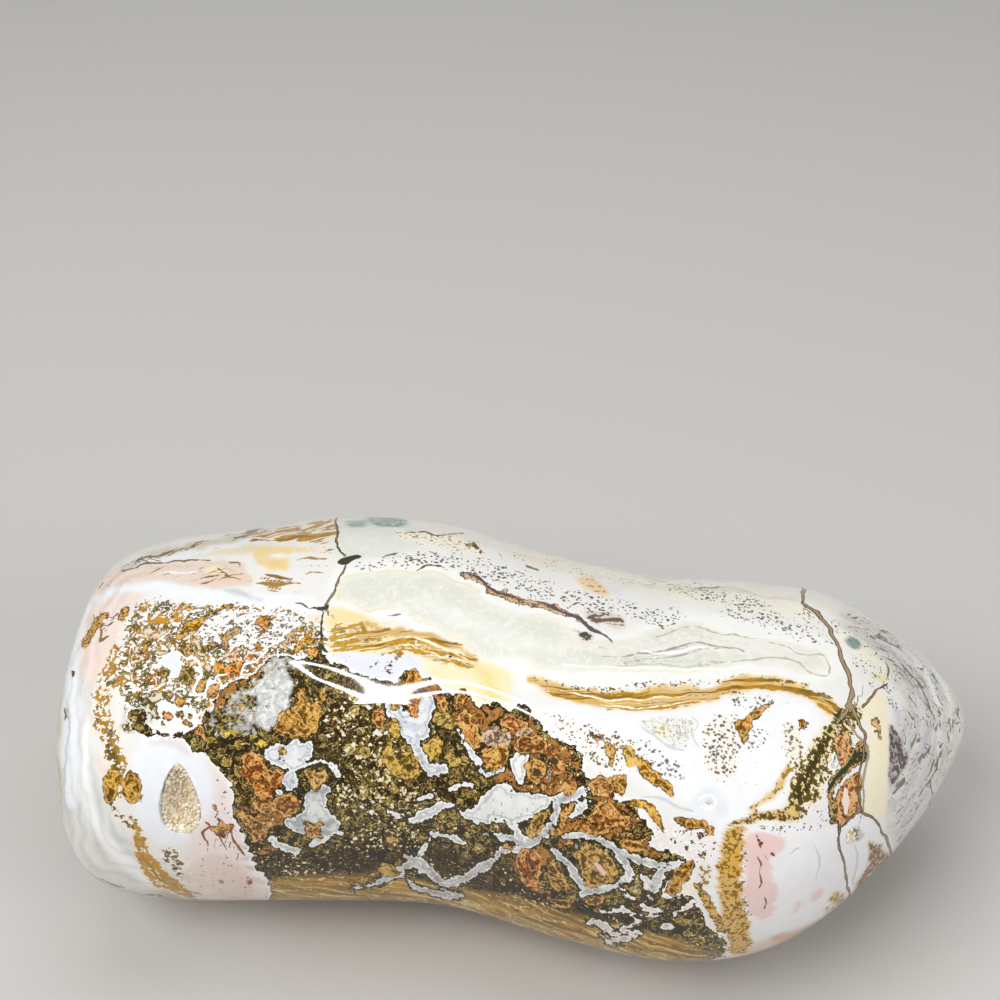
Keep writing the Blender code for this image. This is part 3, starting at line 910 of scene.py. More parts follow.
DOT_CLUSTERS = (
    ([(360, 566, 3), (377, 565, 5), (406, 559, 7), (435, 559, 8), (465, 563, 9), (492, 573, 9),
     (521, 582, 9), (550, 592, 9), (578, 600, 9), (607, 607, 8), (640, 612, 7), (676, 616, 6)], 1.35),
    ([(471, 556, 1), (490, 563, 2), (509, 572, 1)], 1.9),
    ([(670, 590, 5), (700, 592, 8), (740, 600, 8), (770, 606, 5)], 1.15),
    ([(726, 608, 5), (770, 622, 9), (800, 632, 9), (826, 642, 5)], 1.3),
    ([(640, 616, 4), (660, 622, 6), (676, 624, 3)], 1.2),
    ([(800, 618, 4), (826, 622, 6)], 0.9),
    ([(832, 622, 4), (856, 634, 7), (880, 650, 8), (900, 672, 7)], 1.25),
    ([(856, 660, 5), (880, 680, 7), (892, 706, 5)], 1.1),
    ([(500, 556, 3), (540, 562, 4), (600, 576, 4), (640, 584, 3)], 0.6),
)
for line, much in DOT_CLUSTERS:
    tint(line, 7, rough=4, dots=much)
ROOF = (
    (tint, [(504, 548, 3), (540, 560, 5), (594, 570, 4)], 8, "F1E6DA"),
    (tint, [(512, 554, 1), (534, 558, 3), (560, 566, 2)], 6, "F4DFBC"),
    (tint, [(574, 578), (586, 576), (600, 582), (608, 592), (600, 596), (586, 590)], 6, "F0D09A", 2,
     {"fleck": "C0863C", "share": 0.6, "grain": 0.5}),
    (tint, [(610, 588, 3), (620, 592, 4)], 6, "E9E0EA"),
    (tint, [(640, 574), (700, 580), (780, 592), (800, 600), (760, 598), (690, 590), (640, 584)], 5, "EDE7D6",
     {"bands": 0.5, "fleck": "8E8264", "share": 0.42, "grain": 1}),
    (tint, [(770, 606, 3), (800, 612, 6), (815, 620, 4)], 9, "F6EED6"),
    (tint, [(520, 552, 3), (600, 572, 6), (660, 590, 6), (720, 600, 7), (790, 612, 7)], 12, "F1ECDB"),
    (tint, [(816, 604, 2), (850, 618, 4), (890, 640, 5), (912, 660, 4)], 7, "EFE9D4", {"fleck": "7E7458",
     "share": 0.5, "grain": 1}),
    (crisp, "patch", [(460, 573), (466, 575), (484, 580), (492, 588), (504, 591), (519, 596), (534, 600),
     (550, 605), (565, 610), (578, 617), (590, 626), (570, 617), (552, 611), (538, 608), (523, 605),
     (508, 600), (496, 594), (473, 582), (464, 579)], "C8AE9C", 1.8),
    (seam, "thread", [(534, 601, 0.6), (552, 607, 1.6), (570, 614, 1.8), (584, 622, 1.8), (598, 632, 1.4),
     (614, 643, 0.5)], "5E585A"),
    (seam, "thread", [(460, 573, 0.4), (476, 578, 1), (490, 588, 1.2), (506, 594, 0.8), (524, 599, 0.4)],
     "5E4C50"),
    (tint, [(582, 612), (600, 612), (622, 618), (622, 627), (600, 624)], 4, "D8CCC0", 2, {"fleck": "6E625A",
     "share": 0.85, "grain": 0.6}),
    (tint, [(574, 629), (584, 630), (594, 633), (590, 640), (580, 638)], 3, "C9C5B4", 2, {"fleck": "4E5050",
     "share": 1.05, "dots": 1.5}),
    (seam, "thread", [(524, 566, 0.4), (532, 569, 0.9), (540, 572, 0.4)], "8A7A50"),
)
draw(ROOF)

# %% [markdown]
# ## The round end, on the right

# %% Lavender streaks and the cream strip
# The grey ground and flecks of the round end are partly painted shade: that end is turned away from the
# light, so its grey is made darker than the stone's own.
ROUND_END = (
    (tint, [(842, 612), (880, 622), (915, 645), (945, 680), (966, 715), (962, 740), (930, 800), (900, 850),
     (888, 812), (892, 740), (905, 700), (880, 660), (850, 636)], 16, "D4D0CA", {"bands": 0.4,
     "fleck": "867E76", "share": 0.54, "grain": 1, "dots": 0.5}),
    (tint, [(846, 604, 3), (884, 620, 5), (920, 646, 6), (948, 684, 6), (960, 722, 6), (948, 770, 7)], 9,
     "DCDACC", {"share": 0.5}),
)
draw(ROUND_END)
LAVENDER_BANDS = (
    ([(880, 640, 1), (905, 664, 2), (924, 700, 2.4), (926, 740, 2.4), (912, 790, 3), (898, 836, 1)],
     "CBC4CA"),
    ([(896, 640, 1), (925, 672, 2), (940, 710, 2.5), (938, 750, 2)], "F2F3F6"),
    ([(890, 700, 1), (900, 724, 3), (908, 760, 2)], "D0CCD2"),
    ([(930, 660, 1), (950, 700, 2), (952, 740, 1)], "F2F0EA"),
    ([(900, 790, 2), (914, 800, 4), (904, 840, 2)], "D9CFD2"),
)
for line, colour in LAVENDER_BANDS:
    tint(line, 4, ground=colour)
DARK_LEAF = (
    (tint, [(888, 728), (895, 728), (904, 748), (906, 762), (898, 780), (888, 786), (888, 756)], 4, "9A8F94",
     2, {"fleck": "5C5258", "share": 0.85, "grain": 0}),
)
draw(DARK_LEAF)
LAVENDER_LINES = (
    ([(901, 665, 0.4), (914, 678, 0.9), (924, 694, 0.9), (931, 714, 0.4)], "857858"),
    ([(936, 756, 0.4), (937, 768, 0.9), (930, 780, 0.9), (934, 796, 0.9), (930, 806, 0.3)], "57524C"),
    ([(924, 780, 0.3), (930, 770, 0.7), (934, 758, 0.3)], "6B6560"),
    ([(945, 746, 0.4), (947, 762, 0.7), (943, 776, 0.3)], "7A766E"),
    ([(892, 650, 0.4), (903, 668, 0.8), (914, 690, 0.4)], "A69C92"),
    ([(885, 664, 0.6), (889, 671, 1.2), (888, 678, 0.6)], "7A7A40"),
)
for line, colour in LAVENDER_LINES:
    seam("thread", line, colour)
CREAM_STRIP = (
    (tint, [(864, 704), (880, 690), (888, 706), (887, 740), (886, 800), (884, 815), (866, 812), (868, 780),
     (870, 746)], 4, "F9EFCE", {"share": 0, "bands": 0, "dots": 0}),
    (crisp, "patch", [(871, 720), (876, 716), (879, 726), (880, 741), (875, 732)], "E4BC9E"),
    (tint, [(840, 636, 4), (862, 650, 7), (884, 676, 6)], 8, "F6F1DC"),
    (tint, [(846, 640), (856, 638), (861, 646), (852, 648)], 2.5, "568078", 1),
    (tint, [(872, 676, 2), (886, 678, 3)], 5, "F0E0AA"),
)
draw(CREAM_STRIP)

# %% The knot where the right crack forks
KNOT = (
    (tint, [(784, 806), (790, 786), (800, 760), (812, 742), (828, 724), (842, 708), (856, 706), (862, 716),
     (850, 740), (836, 762), (824, 786), (812, 806), (796, 824), (776, 826), (748, 828), (746, 818),
     (768, 812)], 5, "F0E0AC", 4, {"fleck": "5E4E1E", "share": 0.8, "dots": 1.3}),
    (tint, [(842, 716, 2), (828, 738, 4), (814, 762, 5), (804, 784, 5), (794, 806, 4)], 5, "D6BE68", 3,
     {"fleck": "42381A", "share": 1}),
    (tint, [(788, 764, 2), (784, 778, 4), (774, 792, 4), (760, 802, 3), (750, 808, 1.5)], 4, "E2B650", 2,
     {"fleck": "A8802C", "share": 0.7}),
    (tint, [(752, 812, 0.8), (764, 806, 2), (780, 798, 2)], 3, "FAF8F4", {"share": 0}),
    (crisp, "patch", [(826, 784), (832, 774), (842, 764), (850, 752), (858, 742), (868, 745), (866, 756),
     (856, 768), (846, 776), (836, 790), (836, 806), (835, 822), (831, 818), (828, 800)], "36412E", 1.2),
    (seam, "thread", [(829, 792, 1.2), (832, 782, 1.8), (842, 771, 2.2), (852, 760, 2.2), (860, 750, 1.4)],
     "36412E"),
    (crisp, "patch", [(833, 746), (838, 736), (848, 734), (853, 746), (850, 756), (843, 767), (838, 760)],
     "E4A678", 1.2),
    (crisp, "patch", [(836, 796), (842, 786), (849, 778), (856, 780), (860, 796), (858, 812), (848, 820),
     (840, 822)], "E49A66", 1),
    (seam, "thread", [(845, 788, 1.6), (846, 800, 3), (845, 814, 1.6)], "F4DFD4"),
    (crisp, "patch", [(854, 776), (860, 772), (863, 784), (860, 796), (856, 790)], "B8783E", 1),
    (crisp, "milk", [(828, 766), (832, 755), (837, 752), (838, 760), (833, 769)], "F6F2EA", 0.8),
    (seam, "thread", [(831, 764, 0.4), (835, 757, 0.7)], "5A5038"),
)
draw(KNOT)
KNOT_SEAMS = (
    [(845, 719, 0.6), (856, 734, 1.4), (868, 746, 1.4), (866, 767, 1.2), (863, 812, 0.8)],
    [(838, 722, 0.6), (846, 712, 1.6), (852, 708, 1.2)],
)
for line in KNOT_SEAMS:
    seam("thread", line, "A89A78")
KNOT_FOOT = (
    (tint, [(726, 826), (740, 818), (756, 812), (780, 808), (796, 804), (800, 814), (790, 822), (766, 820),
     (746, 826)], 3, "D3A83C", 2, {"fleck": "5E4E1E", "share": 0.85}),
    (tint, [(786, 812), (792, 808), (798, 814), (791, 819)], 3, "DDB646", 1, {"share": 0}),
)
draw(KNOT_FOOT)

# %% The foot of the right side
RIGHT_FOOT = (
    (tint, [(745, 830), (790, 822), (838, 828), (842, 860), (848, 900), (800, 926), (760, 930), (740, 900)],
     7, "F2F1F2", {"share": 0, "lace": 0, "dots": 0}),
    (tint, [(745, 836), (761, 833), (783, 837), (783, 849), (772, 858), (770, 872), (776, 890), (774, 910),
     (761, 919), (745, 906), (742, 892), (747, 874), (745, 855)], 3.5, "EDCDC6", 2),
    (tint, [(745, 832, 3), (743, 870, 3), (744, 914, 3)], 5, None, 2, {"fleck": "7A6A4A", "share": 0.7,
     "dots": 0.9}),
    (tint, [(752, 824, 3), (776, 830, 4), (800, 828, 3), (820, 826, 4)], 6, None, 3, {"fleck": "8F7F5A",
     "share": 0.55, "dots": 0.8}),
    (tint, [(806, 806, 3), (820, 814, 6), (828, 824, 4)], 6, "F0E8EA", 2, {"fleck": "6A5E54", "share": 0.45,
     "dots": 0.8}),
)
draw(RIGHT_FOOT)
FOOT_LINES = (
    ([(757, 836, 0.4), (760, 843, 1.2), (762, 849, 0.6)], "7A3E30"),
    ([(764, 842, 0.4), (761, 847, 0.9)], "7A3E30"),
    ([(757, 856, 0.3), (760, 863, 0.6), (759, 871, 0.5), (762, 882, 0.7), (760, 889, 0.3)], "94564A"),
    ([(765, 897, 0.3), (767, 903, 0.6), (765, 909, 0.3)], "7A4A40"),
    ([(772, 854, 1.3), (774, 856, 1.3)], "6A5A58"),
    ([(788, 855, 0.5), (794, 849, 1.2), (801, 848, 0.5)], "CDCDD0"),
    ([(815, 846, 0.4), (820, 862, 1.4), (816, 878, 0.5)], "DCDADF"),
)
for line, colour in FOOT_LINES:
    seam("thread", line, colour)
FOOT_PATCHES = (
    (tint, [(813, 900, 2), (818, 895, 4.5), (822, 891, 3)], 4, "EBCBC8"),
    (tint, [(795, 912, 1.5), (799, 904, 3)], 4, "EBCCCA"),
    (tint, [(829, 900), (834, 892), (843, 892), (842, 902), (834, 907)], 3, "D8B25A", 2, {"fleck": "8A6A20",
     "share": 0.75}),
    (tint, [(826, 910, 3), (842, 904, 4), (850, 896, 2)], 6, "E2D2B4", 3, {"fleck": "8A6A40", "share": 0.7}),
    (tint, [(742, 952, 6), (790, 942, 7), (826, 926, 7), (852, 906, 5)], 9, "E3C7AE"),
    (tint, [(776, 940, 3), (800, 934, 4), (822, 922, 2)], 6, "D8A88C"),
    (tint, [(843, 824), (857, 816), (871, 820), (882, 835), (885, 852), (874, 864), (863, 876), (855, 889),
     (848, 885), (846, 866), (843, 845)], 3, "F1F1F4", {"share": 0}),
    (tint, [(851, 832), (857, 826), (864, 832), (860, 840), (853, 840)], 3, "C9C9C4", {"fleck": "8A8A80",
     "share": 0.6}),
    (seam, "thread", [(853, 844, 0.6), (858, 856, 1.2), (856, 872, 1.2), (853, 884, 0.6)], "D3D6DA"),
    (tint, [(870, 842), (884, 850), (892, 862), (880, 880), (862, 894), (852, 894), (860, 878), (868, 864)],
     4, "C9A078", 2.5, {"fleck": "7A4A22", "share": 0.9, "grain": 0.3}),
    (tint, [(846, 900, 2), (866, 892, 4), (884, 876, 3)], 5, "B8A490", {"fleck": "6E543A", "share": 0.6}),
    (tint, [(690, 812, 2), (706, 815, 2.5), (721, 818, 3), (717, 835, 3.5), (712, 858, 3.5), (708, 876, 3.5),
     (708, 894, 3.5), (716, 910, 3)], 3.5, "EEF2F8", {"share": 0, "lace": 0, "dots": 0}),
    (tint, [(722, 820, 2), (736, 818, 2), (748, 816, 1)], 3, "F4F6FA", {"share": 0}),
    (tint, [(726, 828), (746, 824), (744, 845), (742, 866), (740, 887), (745, 912), (751, 938), (747, 952),
     (727, 950), (723, 919), (718, 887), (720, 856), (722, 838)], 1, "D9A52C", 3, {"fleck": "8E691C",
     "share": 0.7, "dots": 0, "lace": 0}),
    (tint, [(746, 830, 1.5), (744, 860, 1.5), (743, 890, 1.5), (750, 925, 2)], 3, None, 2, {"dots": 1.2,
     "share": 0.4}),
)
draw(FOOT_PATCHES)

# %% [markdown]
# ## The dark heart
#
# The jasper is dark olive brown with gold and cream flecks, rust and gold islands, and pale chalcedony that
# has filled its cracks. Its edge is crisp, so it is kept as a distance.

# %% The jasper's outline
JASPER = (
    [(164, 735), (183, 739), (193, 749), (209, 758), (213, 768), (223, 772), (230, 784), (236, 796),
     (234, 811), (238, 823), (246, 837), (254, 858), (257, 868), (266, 880), (271, 893), (276, 908),
     (340, 915), (450, 915), (520, 930), (570, 948), (620, 962), (680, 965), (724, 955), (724, 940),
     (708, 925), (700, 910), (690, 896), (672, 900), (664, 888), (684, 862), (676, 852), (650, 846),
     (652, 830), (640, 812), (650, 802), (632, 800), (616, 800), (612, 784), (596, 780), (585, 776),
     (582, 760), (575, 747), (560, 740), (546, 731), (534, 716), (520, 704), (508, 712), (494, 704),
     (478, 706), (466, 694), (450, 694), (436, 680), (420, 676), (404, 672), (392, 684), (372, 678),
     (350, 668), (330, 660), (318, 650), (300, 660), (284, 656), (262, 664), (250, 676), (236, 682),
     (222, 690), (214, 704), (204, 714), (200, 730), (186, 732)],
    [(128, 714), (138, 709), (146, 716), (148, 727), (164, 735), (146, 736), (134, 729)],
)
for outline in JASPER:
    crisp("jasper", outline, rough=1.5)
print("points in the jasper", int((layers["jasper"] > 0).sum()))

# %% Chalcedony in the jasper
CHALCEDONY = (
    ("DADDE4", [(264, 752), (272, 746), (286, 744), (295, 737), (300, 742), (310, 740), (313, 748),
     (306, 758), (308, 766), (296, 769), (284, 768), (272, 762)]),
    ("E4E4E4", [(300, 764, 1.6), (318, 762, 2.2), (332, 767, 2.4), (338, 776, 3.2)]),
    ("D2D7DC", [(283, 776), (294, 771), (299, 782), (294, 791), (284, 789)]),
    ("E8E4DC", [(274, 789), (282, 792), (280, 797)]),
    ("A9AFAE", [(306, 792), (318, 786), (329, 786), (327, 800), (330, 812), (340, 822), (334, 832),
     (318, 838), (304, 834), (290, 830), (284, 820), (296, 816), (306, 808)]),
    ("D5D5D2", [(270, 839, 2), (284, 847, 3), (300, 850, 3), (316, 842, 3), (332, 835, 2)]),
    ("E6E6E2", [(320, 826, 1), (332, 830, 3), (343, 832, 1)]),
    ("CFD2DC", [(385, 701), (396, 704), (408, 712), (418, 702), (424, 694), (434, 696), (436, 706),
     (430, 722), (430, 736), (420, 740), (424, 752), (432, 764), (447, 766), (444, 774), (428, 777),
     (420, 766), (414, 750), (404, 738), (397, 722), (388, 714)]),
    ("DCDCDE", [(459, 731, 1), (468, 746, 2.4), (478, 761, 3.2)]),
    ("E4E4E2", [(463, 814), (474, 806), (482, 800), (492, 788), (504, 784), (516, 791), (534, 793),
     (552, 797), (549, 806), (536, 814), (524, 820), (516, 824), (526, 838), (521, 842), (508, 826),
     (496, 820), (484, 822), (476, 822)]),
    ("DDDDDC", [(411, 822, 1.5), (420, 818, 4), (436, 810, 5), (452, 803, 2)]),
    ("E4E2DE", [(448, 790, 1.5), (462, 786, 2.4), (478, 788, 1.5)]),
    ("DEDCD8", [(418, 798, 2), (428, 795, 3), (436, 794, 1)]),
    ("ECEAE8", [(513, 762), (520, 752), (530, 757), (525, 770), (521, 786), (515, 776)]),
    ("C4C6CC", [(479, 770, 2), (490, 774, 4), (504, 766, 2)]),
    ("A8A8AE", [(592, 786, 2.2), (576, 794, 4), (560, 800, 4.5), (554, 818, 4), (546, 833, 4.5),
     (526, 844, 4)]),
    ("BDBBBA", [(526, 845, 3.5), (508, 838, 3), (496, 835, 2)]),
    ("B4AFAC", [(524, 846, 3), (500, 852, 3), (490, 863, 3.4), (473, 872, 4.5), (458, 881, 5), (444, 883, 5),
     (428, 872, 4), (416, 862, 5), (406, 857, 3)]),
    ("C6C8C8", [(416, 862, 4), (424, 848, 2.4), (430, 835, 1.4)]),
    ("A8A298", [(412, 862, 4), (394, 874, 3.6), (372, 884, 2), (352, 890, 1)]),
    ("C9C9C8", [(430, 832, 2), (446, 836, 2.6), (462, 842, 3)]),
    ("A89E92", [(400, 870, 1), (412, 884, 2.4), (430, 892, 3), (460, 896, 3)]),
    ("A9ABA4", [(572, 816, 1.5), (579, 809, 3.6), (588, 803, 2)]),
    ("AEB2B2", [(551, 845, 2.4), (562, 858, 4), (572, 868, 4), (584, 888, 3.6)]),
    ("B6B8B8", [(559, 835, 2), (576, 836, 3.4), (602, 840, 3.4), (618, 852, 4), (624, 862, 4), (627, 876, 4),
     (610, 888, 3.4), (584, 892, 4)]),
    ("A4ABAA", [(620, 851, 3.4), (640, 861, 4), (656, 865, 3.6), (681, 862, 1.5)]),
    ("8C928C", [(676, 868, 1.5), (662, 874, 4), (655, 886, 4.5), (652, 898, 4)]),
    ("E2DDD8", [(641, 873, 1), (645, 880, 3.2), (648, 887, 2)]),
    ("E8E6E0", [(620, 888, 1.4), (628, 896, 3), (637, 901, 1.6)]),
    ("E8E2DC", [(642, 905, 2), (652, 908, 3), (662, 911, 1)]),
    ("DCD6CC", [(388, 812, 1), (396, 815, 2), (404, 816, 1)]),
)
for colour, outline in CHALCEDONY:
    crisp("milk", outline, colour, rough=1.6)
# white specks among them
WHITE_SPECKS = (
    (327, 722, 1.9),
    (346, 716, 1.9),
    (369, 706, 2.3),
    (375, 731, 2),
    (379, 733, 2),
    (328, 736, 1.6),
    (346, 751, 1.7),
    (360, 758, 1.8),
    (380, 780, 2),
    (349, 790, 1.6),
    (357, 797, 1.8),
    (372, 803, 1.7),
)
for x, y, radius in WHITE_SPECKS:
    dot(x, y, radius, "E8E2D6")

# %% Rust, gold and olive islands
ISLANDS = (
    ("BE8A36", [(274, 726), (280, 712), (291, 708), (296, 700), (304, 688), (309, 702), (316, 706),
     (319, 690), (325, 686), (325, 700), (322, 716), (316, 732), (302, 737), (284, 736)]),
    ("BE6E2E", [(242, 753), (254, 751), (264, 760), (272, 768), (284, 774), (280, 784), (272, 792),
     (272, 799), (262, 800), (252, 790), (244, 776)]),
    ("B07238", [(274, 800), (290, 793), (300, 798), (300, 810), (288, 818), (276, 812)]),
    ("A4662E", [(252, 800), (266, 799), (276, 806), (272, 816), (258, 812)]),
    ("9A6636", [(237, 810), (248, 812), (262, 818), (270, 820), (266, 834), (258, 844), (250, 836),
     (242, 824)]),
    ("CFA866", [(304, 771), (316, 771), (329, 772), (318, 789), (312, 786)]),
    ("7E4A28", [(305, 822), (312, 824), (322, 821), (318, 832), (322, 838), (308, 838)]),
    ("EBCB40", [(258, 743), (263, 740), (269, 743), (264, 747)]),
    ("EAD678", [(239, 744, 1.4), (242, 744, 1.6)]),
    ("EAD678", [(245, 743, 1.4), (250, 744, 1.4)]),
    ("D6C23C", [(226, 733, 0.8), (234, 731, 1.4), (248, 732, 0.8)]),
    ("D0B050", [(278, 751), (282, 749), (285, 753), (281, 756)]),
    ("6A3428", [(276, 759, 0.8), (283, 762, 1.2)]),
    ("AE6C30", [(371, 711), (380, 706), (385, 716), (379, 729), (372, 722)]),
    ("C6A844", [(389, 728), (394, 717), (400, 726), (398, 737), (390, 736)]),
    ("D2922A", [(400, 690), (406, 674), (412, 666), (419, 672), (420, 686), (411, 691)]),
    ("D87A3C", [(406, 696), (412, 692), (420, 696), (418, 716), (414, 719), (408, 706)]),
    ("CC8C4C", [(438, 700), (446, 697), (450, 705), (442, 710)]),
    ("B2A252", [(434, 716), (444, 712), (455, 718), (452, 728), (438, 726)]),
    ("CAA93C", [(425, 743), (434, 737), (441, 745), (438, 758), (429, 756)]),
    ("A89A40", [(447, 757), (454, 753), (460, 761), (452, 767)]),
    ("B99C34", [(384, 762), (384, 748), (391, 744), (394, 756), (402, 752), (412, 752), (420, 764),
     (418, 776), (404, 780), (392, 776)]),
    ("A4842E", [(398, 688), (402, 706), (396, 712), (390, 706)]),
    ("C08432", [(453, 702), (458, 690), (464, 690), (465, 702), (458, 705)]),
    ("C4803E", [(458, 712), (470, 711), (473, 722), (478, 728), (482, 742), (476, 752), (466, 740),
     (461, 728)]),
    ("C87844", [(498, 720), (508, 715), (520, 718), (531, 724), (520, 732), (506, 728)]),
    ("D4BEBA", [(482, 742), (484, 731), (496, 728), (510, 734), (508, 744), (496, 746)]),
    ("D6C2BC", [(514, 734), (524, 727), (534, 728), (530, 736), (518, 738)]),
    ("CC9238", [(483, 754), (492, 744), (508, 746), (510, 760), (500, 768), (488, 766)]),
    ("B67436", [(512, 744), (524, 736), (542, 737), (549, 746), (540, 754), (526, 756), (514, 752)]),
    ("CC934C", [(525, 768), (532, 759), (544, 760), (546, 774), (538, 783), (528, 780)]),
    ("C47E44", [(549, 762), (554, 756), (566, 760), (564, 771), (554, 774)]),
    ("B07A44", [(540, 786, 2), (546, 788, 3), (552, 786, 2)]),
    ("C68848", [(560, 786), (566, 778), (578, 782), (573, 792), (562, 793)]),
    ("A86C3A", [(590, 784), (600, 776), (611, 780), (615, 790), (604, 799), (594, 796)]),
    ("C28238", [(557, 832), (561, 812), (572, 800), (580, 802), (570, 812), (566, 824)]),
    ("BE7836", [(570, 828), (588, 818), (600, 802), (616, 808), (622, 820), (610, 832), (588, 834)]),
    ("C47A3C", [(617, 816), (628, 815), (632, 824), (622, 828)]),
    ("C07C38", [(616, 842), (630, 838), (649, 846), (648, 852), (630, 850)]),
    ("C4843E", [(563, 844, 2), (568, 842, 3.4), (572, 840, 1)]),
    ("A88438", [(577, 862), (584, 848), (596, 844), (608, 854), (620, 872), (612, 880), (600, 887),
     (586, 884)]),
    ("CB8836", [(582, 860), (586, 848), (596, 846), (602, 854), (594, 862)]),
    ("BC6A34", [(514, 856), (524, 848), (538, 850), (541, 862), (540, 880), (530, 888), (520, 880),
     (516, 868)]),
    ("8A6A34", [(552, 856), (560, 870), (568, 884), (558, 892), (548, 878)]),
    ("A89444", [(526, 834), (530, 820), (540, 812), (548, 812), (546, 824), (534, 837)]),
    ("AA8E3C", [(395, 868), (384, 866), (376, 872), (390, 876), (402, 872)]),
    ("9A7A30", [(352, 884, 2), (362, 880, 3), (374, 878, 1)]),
    ("8A7434", [(383, 843, 1), (392, 840, 4), (402, 842, 1)]),
    ("A87A40", [(586, 902, 2), (596, 900, 4), (604, 898, 2)]),
    ("7C6228", [(552, 900, 3), (566, 902, 5), (576, 898, 2)]),
    ("E0AE30", [(624, 803, 1), (640, 804, 2.6), (652, 810, 2.6), (658, 818, 2)]),
    ("C08A24", [(652, 812, 2.4), (658, 820, 2.4), (663, 829, 1)]),
    ("AE7A1E", [(674, 820), (690, 818), (708, 822), (716, 826), (713, 833), (700, 828), (686, 829)]),
    ("B07A1E", [(679, 866), (690, 858), (694, 868), (688, 880), (676, 898), (665, 890), (672, 878)]),
    ("C4983A", [(697, 886, 2), (706, 900, 4), (716, 918, 4), (724, 932, 3)]),
    ("C49A50", [(640, 845, 2), (650, 850, 2)]),
    ("D8A440", [(500, 845, 1), (505, 847, 3), (512, 848, 1)]),
    ("D8B060", [(549, 836, 1), (553, 834, 3), (556, 832, 1)]),
)
for colour, outline in ISLANDS:
    crisp("patch", outline, colour, rough=1.2)
# what lies on the islands: cores, pits and a pink crescent
CORES_AND_PITS = (
    ("45402A", 3.2, [(536, 773), (553, 761), (594, 873), (400, 757), (410, 768)]),
    ("2E2A16", 1.7, [(257, 760), (252, 770), (255, 783), (262, 776), (591, 823), (597, 824), (527, 862),
     (534, 872), (524, 876)]),
    ("3A2E16", 1.2, [(263, 790), (268, 783), (284, 806), (248, 762), (518, 722), (608, 790), (577, 786),
     (625, 821), (636, 845)]),
)
for colour, radius, spots in CORES_AND_PITS:
    for x, y in spots:
        dot(x, y, radius, colour)
PINK_CRESCENT = (
    (seam, "thread", [(594, 863, 1.6), (600, 866, 2.6), (606, 874, 1.8)], "EBC4B8"),
)
draw(PINK_CRESCENT)

# %% Rust, cream specks and veils in the jasper's ground, and a painted reflection along its foot
RUST = (
    (0.6, [(238, 752), (262, 748), (286, 768), (288, 800), (282, 840), (262, 856), (246, 838), (236, 800)]),
    (0.4, [(280, 790), (310, 786), (318, 806), (300, 830), (284, 826)]),
    (0.7, [(448, 690), (480, 700), (520, 708), (560, 740), (588, 778), (580, 804), (540, 800), (500, 788),
     (468, 768), (450, 730)]),
    (0.7, [(556, 800), (590, 780), (620, 800), (652, 820), (668, 856), (640, 866), (600, 842), (560, 842)]),
    (0.7, [(512, 846), (546, 842), (556, 870), (540, 896), (516, 888)]),
    (0.8, [(180, 702), (204, 690), (226, 672), (240, 650), (262, 650), (262, 680), (240, 690), (214, 716),
     (206, 734), (190, 728)]),
    (0.75, [(396, 664), (430, 676), (452, 700), (440, 722), (404, 712)]),
)
for much, outline in RUST:
    tint(outline, 12, rough=4, rust=much)
SPECKS_AND_VEILS = (
    (tint, [(330, 700), (360, 690), (390, 720), (404, 780), (440, 800), (440, 840), (400, 850), (350, 846),
     (332, 800), (340, 770), (322, 730)], 14, None, 3, {"speck": 0.85}),
    (tint, [(344, 786, 3), (360, 792, 8), (384, 800, 5)], 6, None, 3, {"speck": 1.3}),
    (tint, [(252, 690), (258, 680), (276, 672), (292, 680), (294, 694), (288, 710), (280, 722), (266, 728),
     (254, 716)], 9, None, 3, {"veil": 1}),
    (tint, [(222, 706), (236, 692), (256, 696), (256, 724), (238, 734), (226, 724)], 9, None, 3,
     {"veil": 0.5}),
    (tint, [(214, 704, 2), (214, 720, 4), (220, 736, 2)], 5, None, 2, {"veil": 0.6}),
    (tint, [(258, 658), (270, 650), (290, 652), (304, 662), (290, 672), (262, 668)], 8, None, 3,
     {"veil": 0.5}),
    (tint, [(240, 850), (280, 850), (320, 860), (420, 850), (480, 880), (540, 900), (540, 920), (280, 890)],
     10, None, 3, {"speck": 0.35}),
    (tint, [(244, 838), (270, 846), (330, 850), (390, 832), (440, 846), (500, 862), (560, 896), (640, 912),
     (640, 940), (500, 912), (380, 884), (262, 886)], 12, None, 4, {"bands": 1}),
)
draw(SPECKS_AND_VEILS)
DEEP_SHADES = (
    [(244, 790, 2), (248, 812, 4), (256, 848, 4)],
    [(286, 744, 2), (262, 742, 4), (226, 752, 3)],
    [(318, 740, 3), (332, 760, 5), (340, 780, 3)],
    [(288, 810, 3), (278, 838, 6), (292, 846, 3)],
    [(440, 720, 2), (446, 744, 5), (438, 784, 3)],
    [(556, 812, 2), (540, 842, 3), (514, 852, 2)],
    [(480, 832, 3), (500, 842, 4), (480, 862, 3)],
)
for line in DEEP_SHADES:
    tint(line, 8, rough=4, bands=0.9)
# painted reflection: a gold-tan band with dark and pale streaks along the foot of the jasper, the mirrored
# image of a wooden rule lying before the stone
PAINTED_REFLECTION = (
    (tint, [(262, 884), (300, 878), (400, 876), (450, 888), (520, 900), (600, 922), (690, 944), (700, 970),
     (600, 970), (500, 940), (440, 920), (262, 920)], 9, None, 2, {"silt": 1}),
)
draw(PAINTED_REFLECTION)

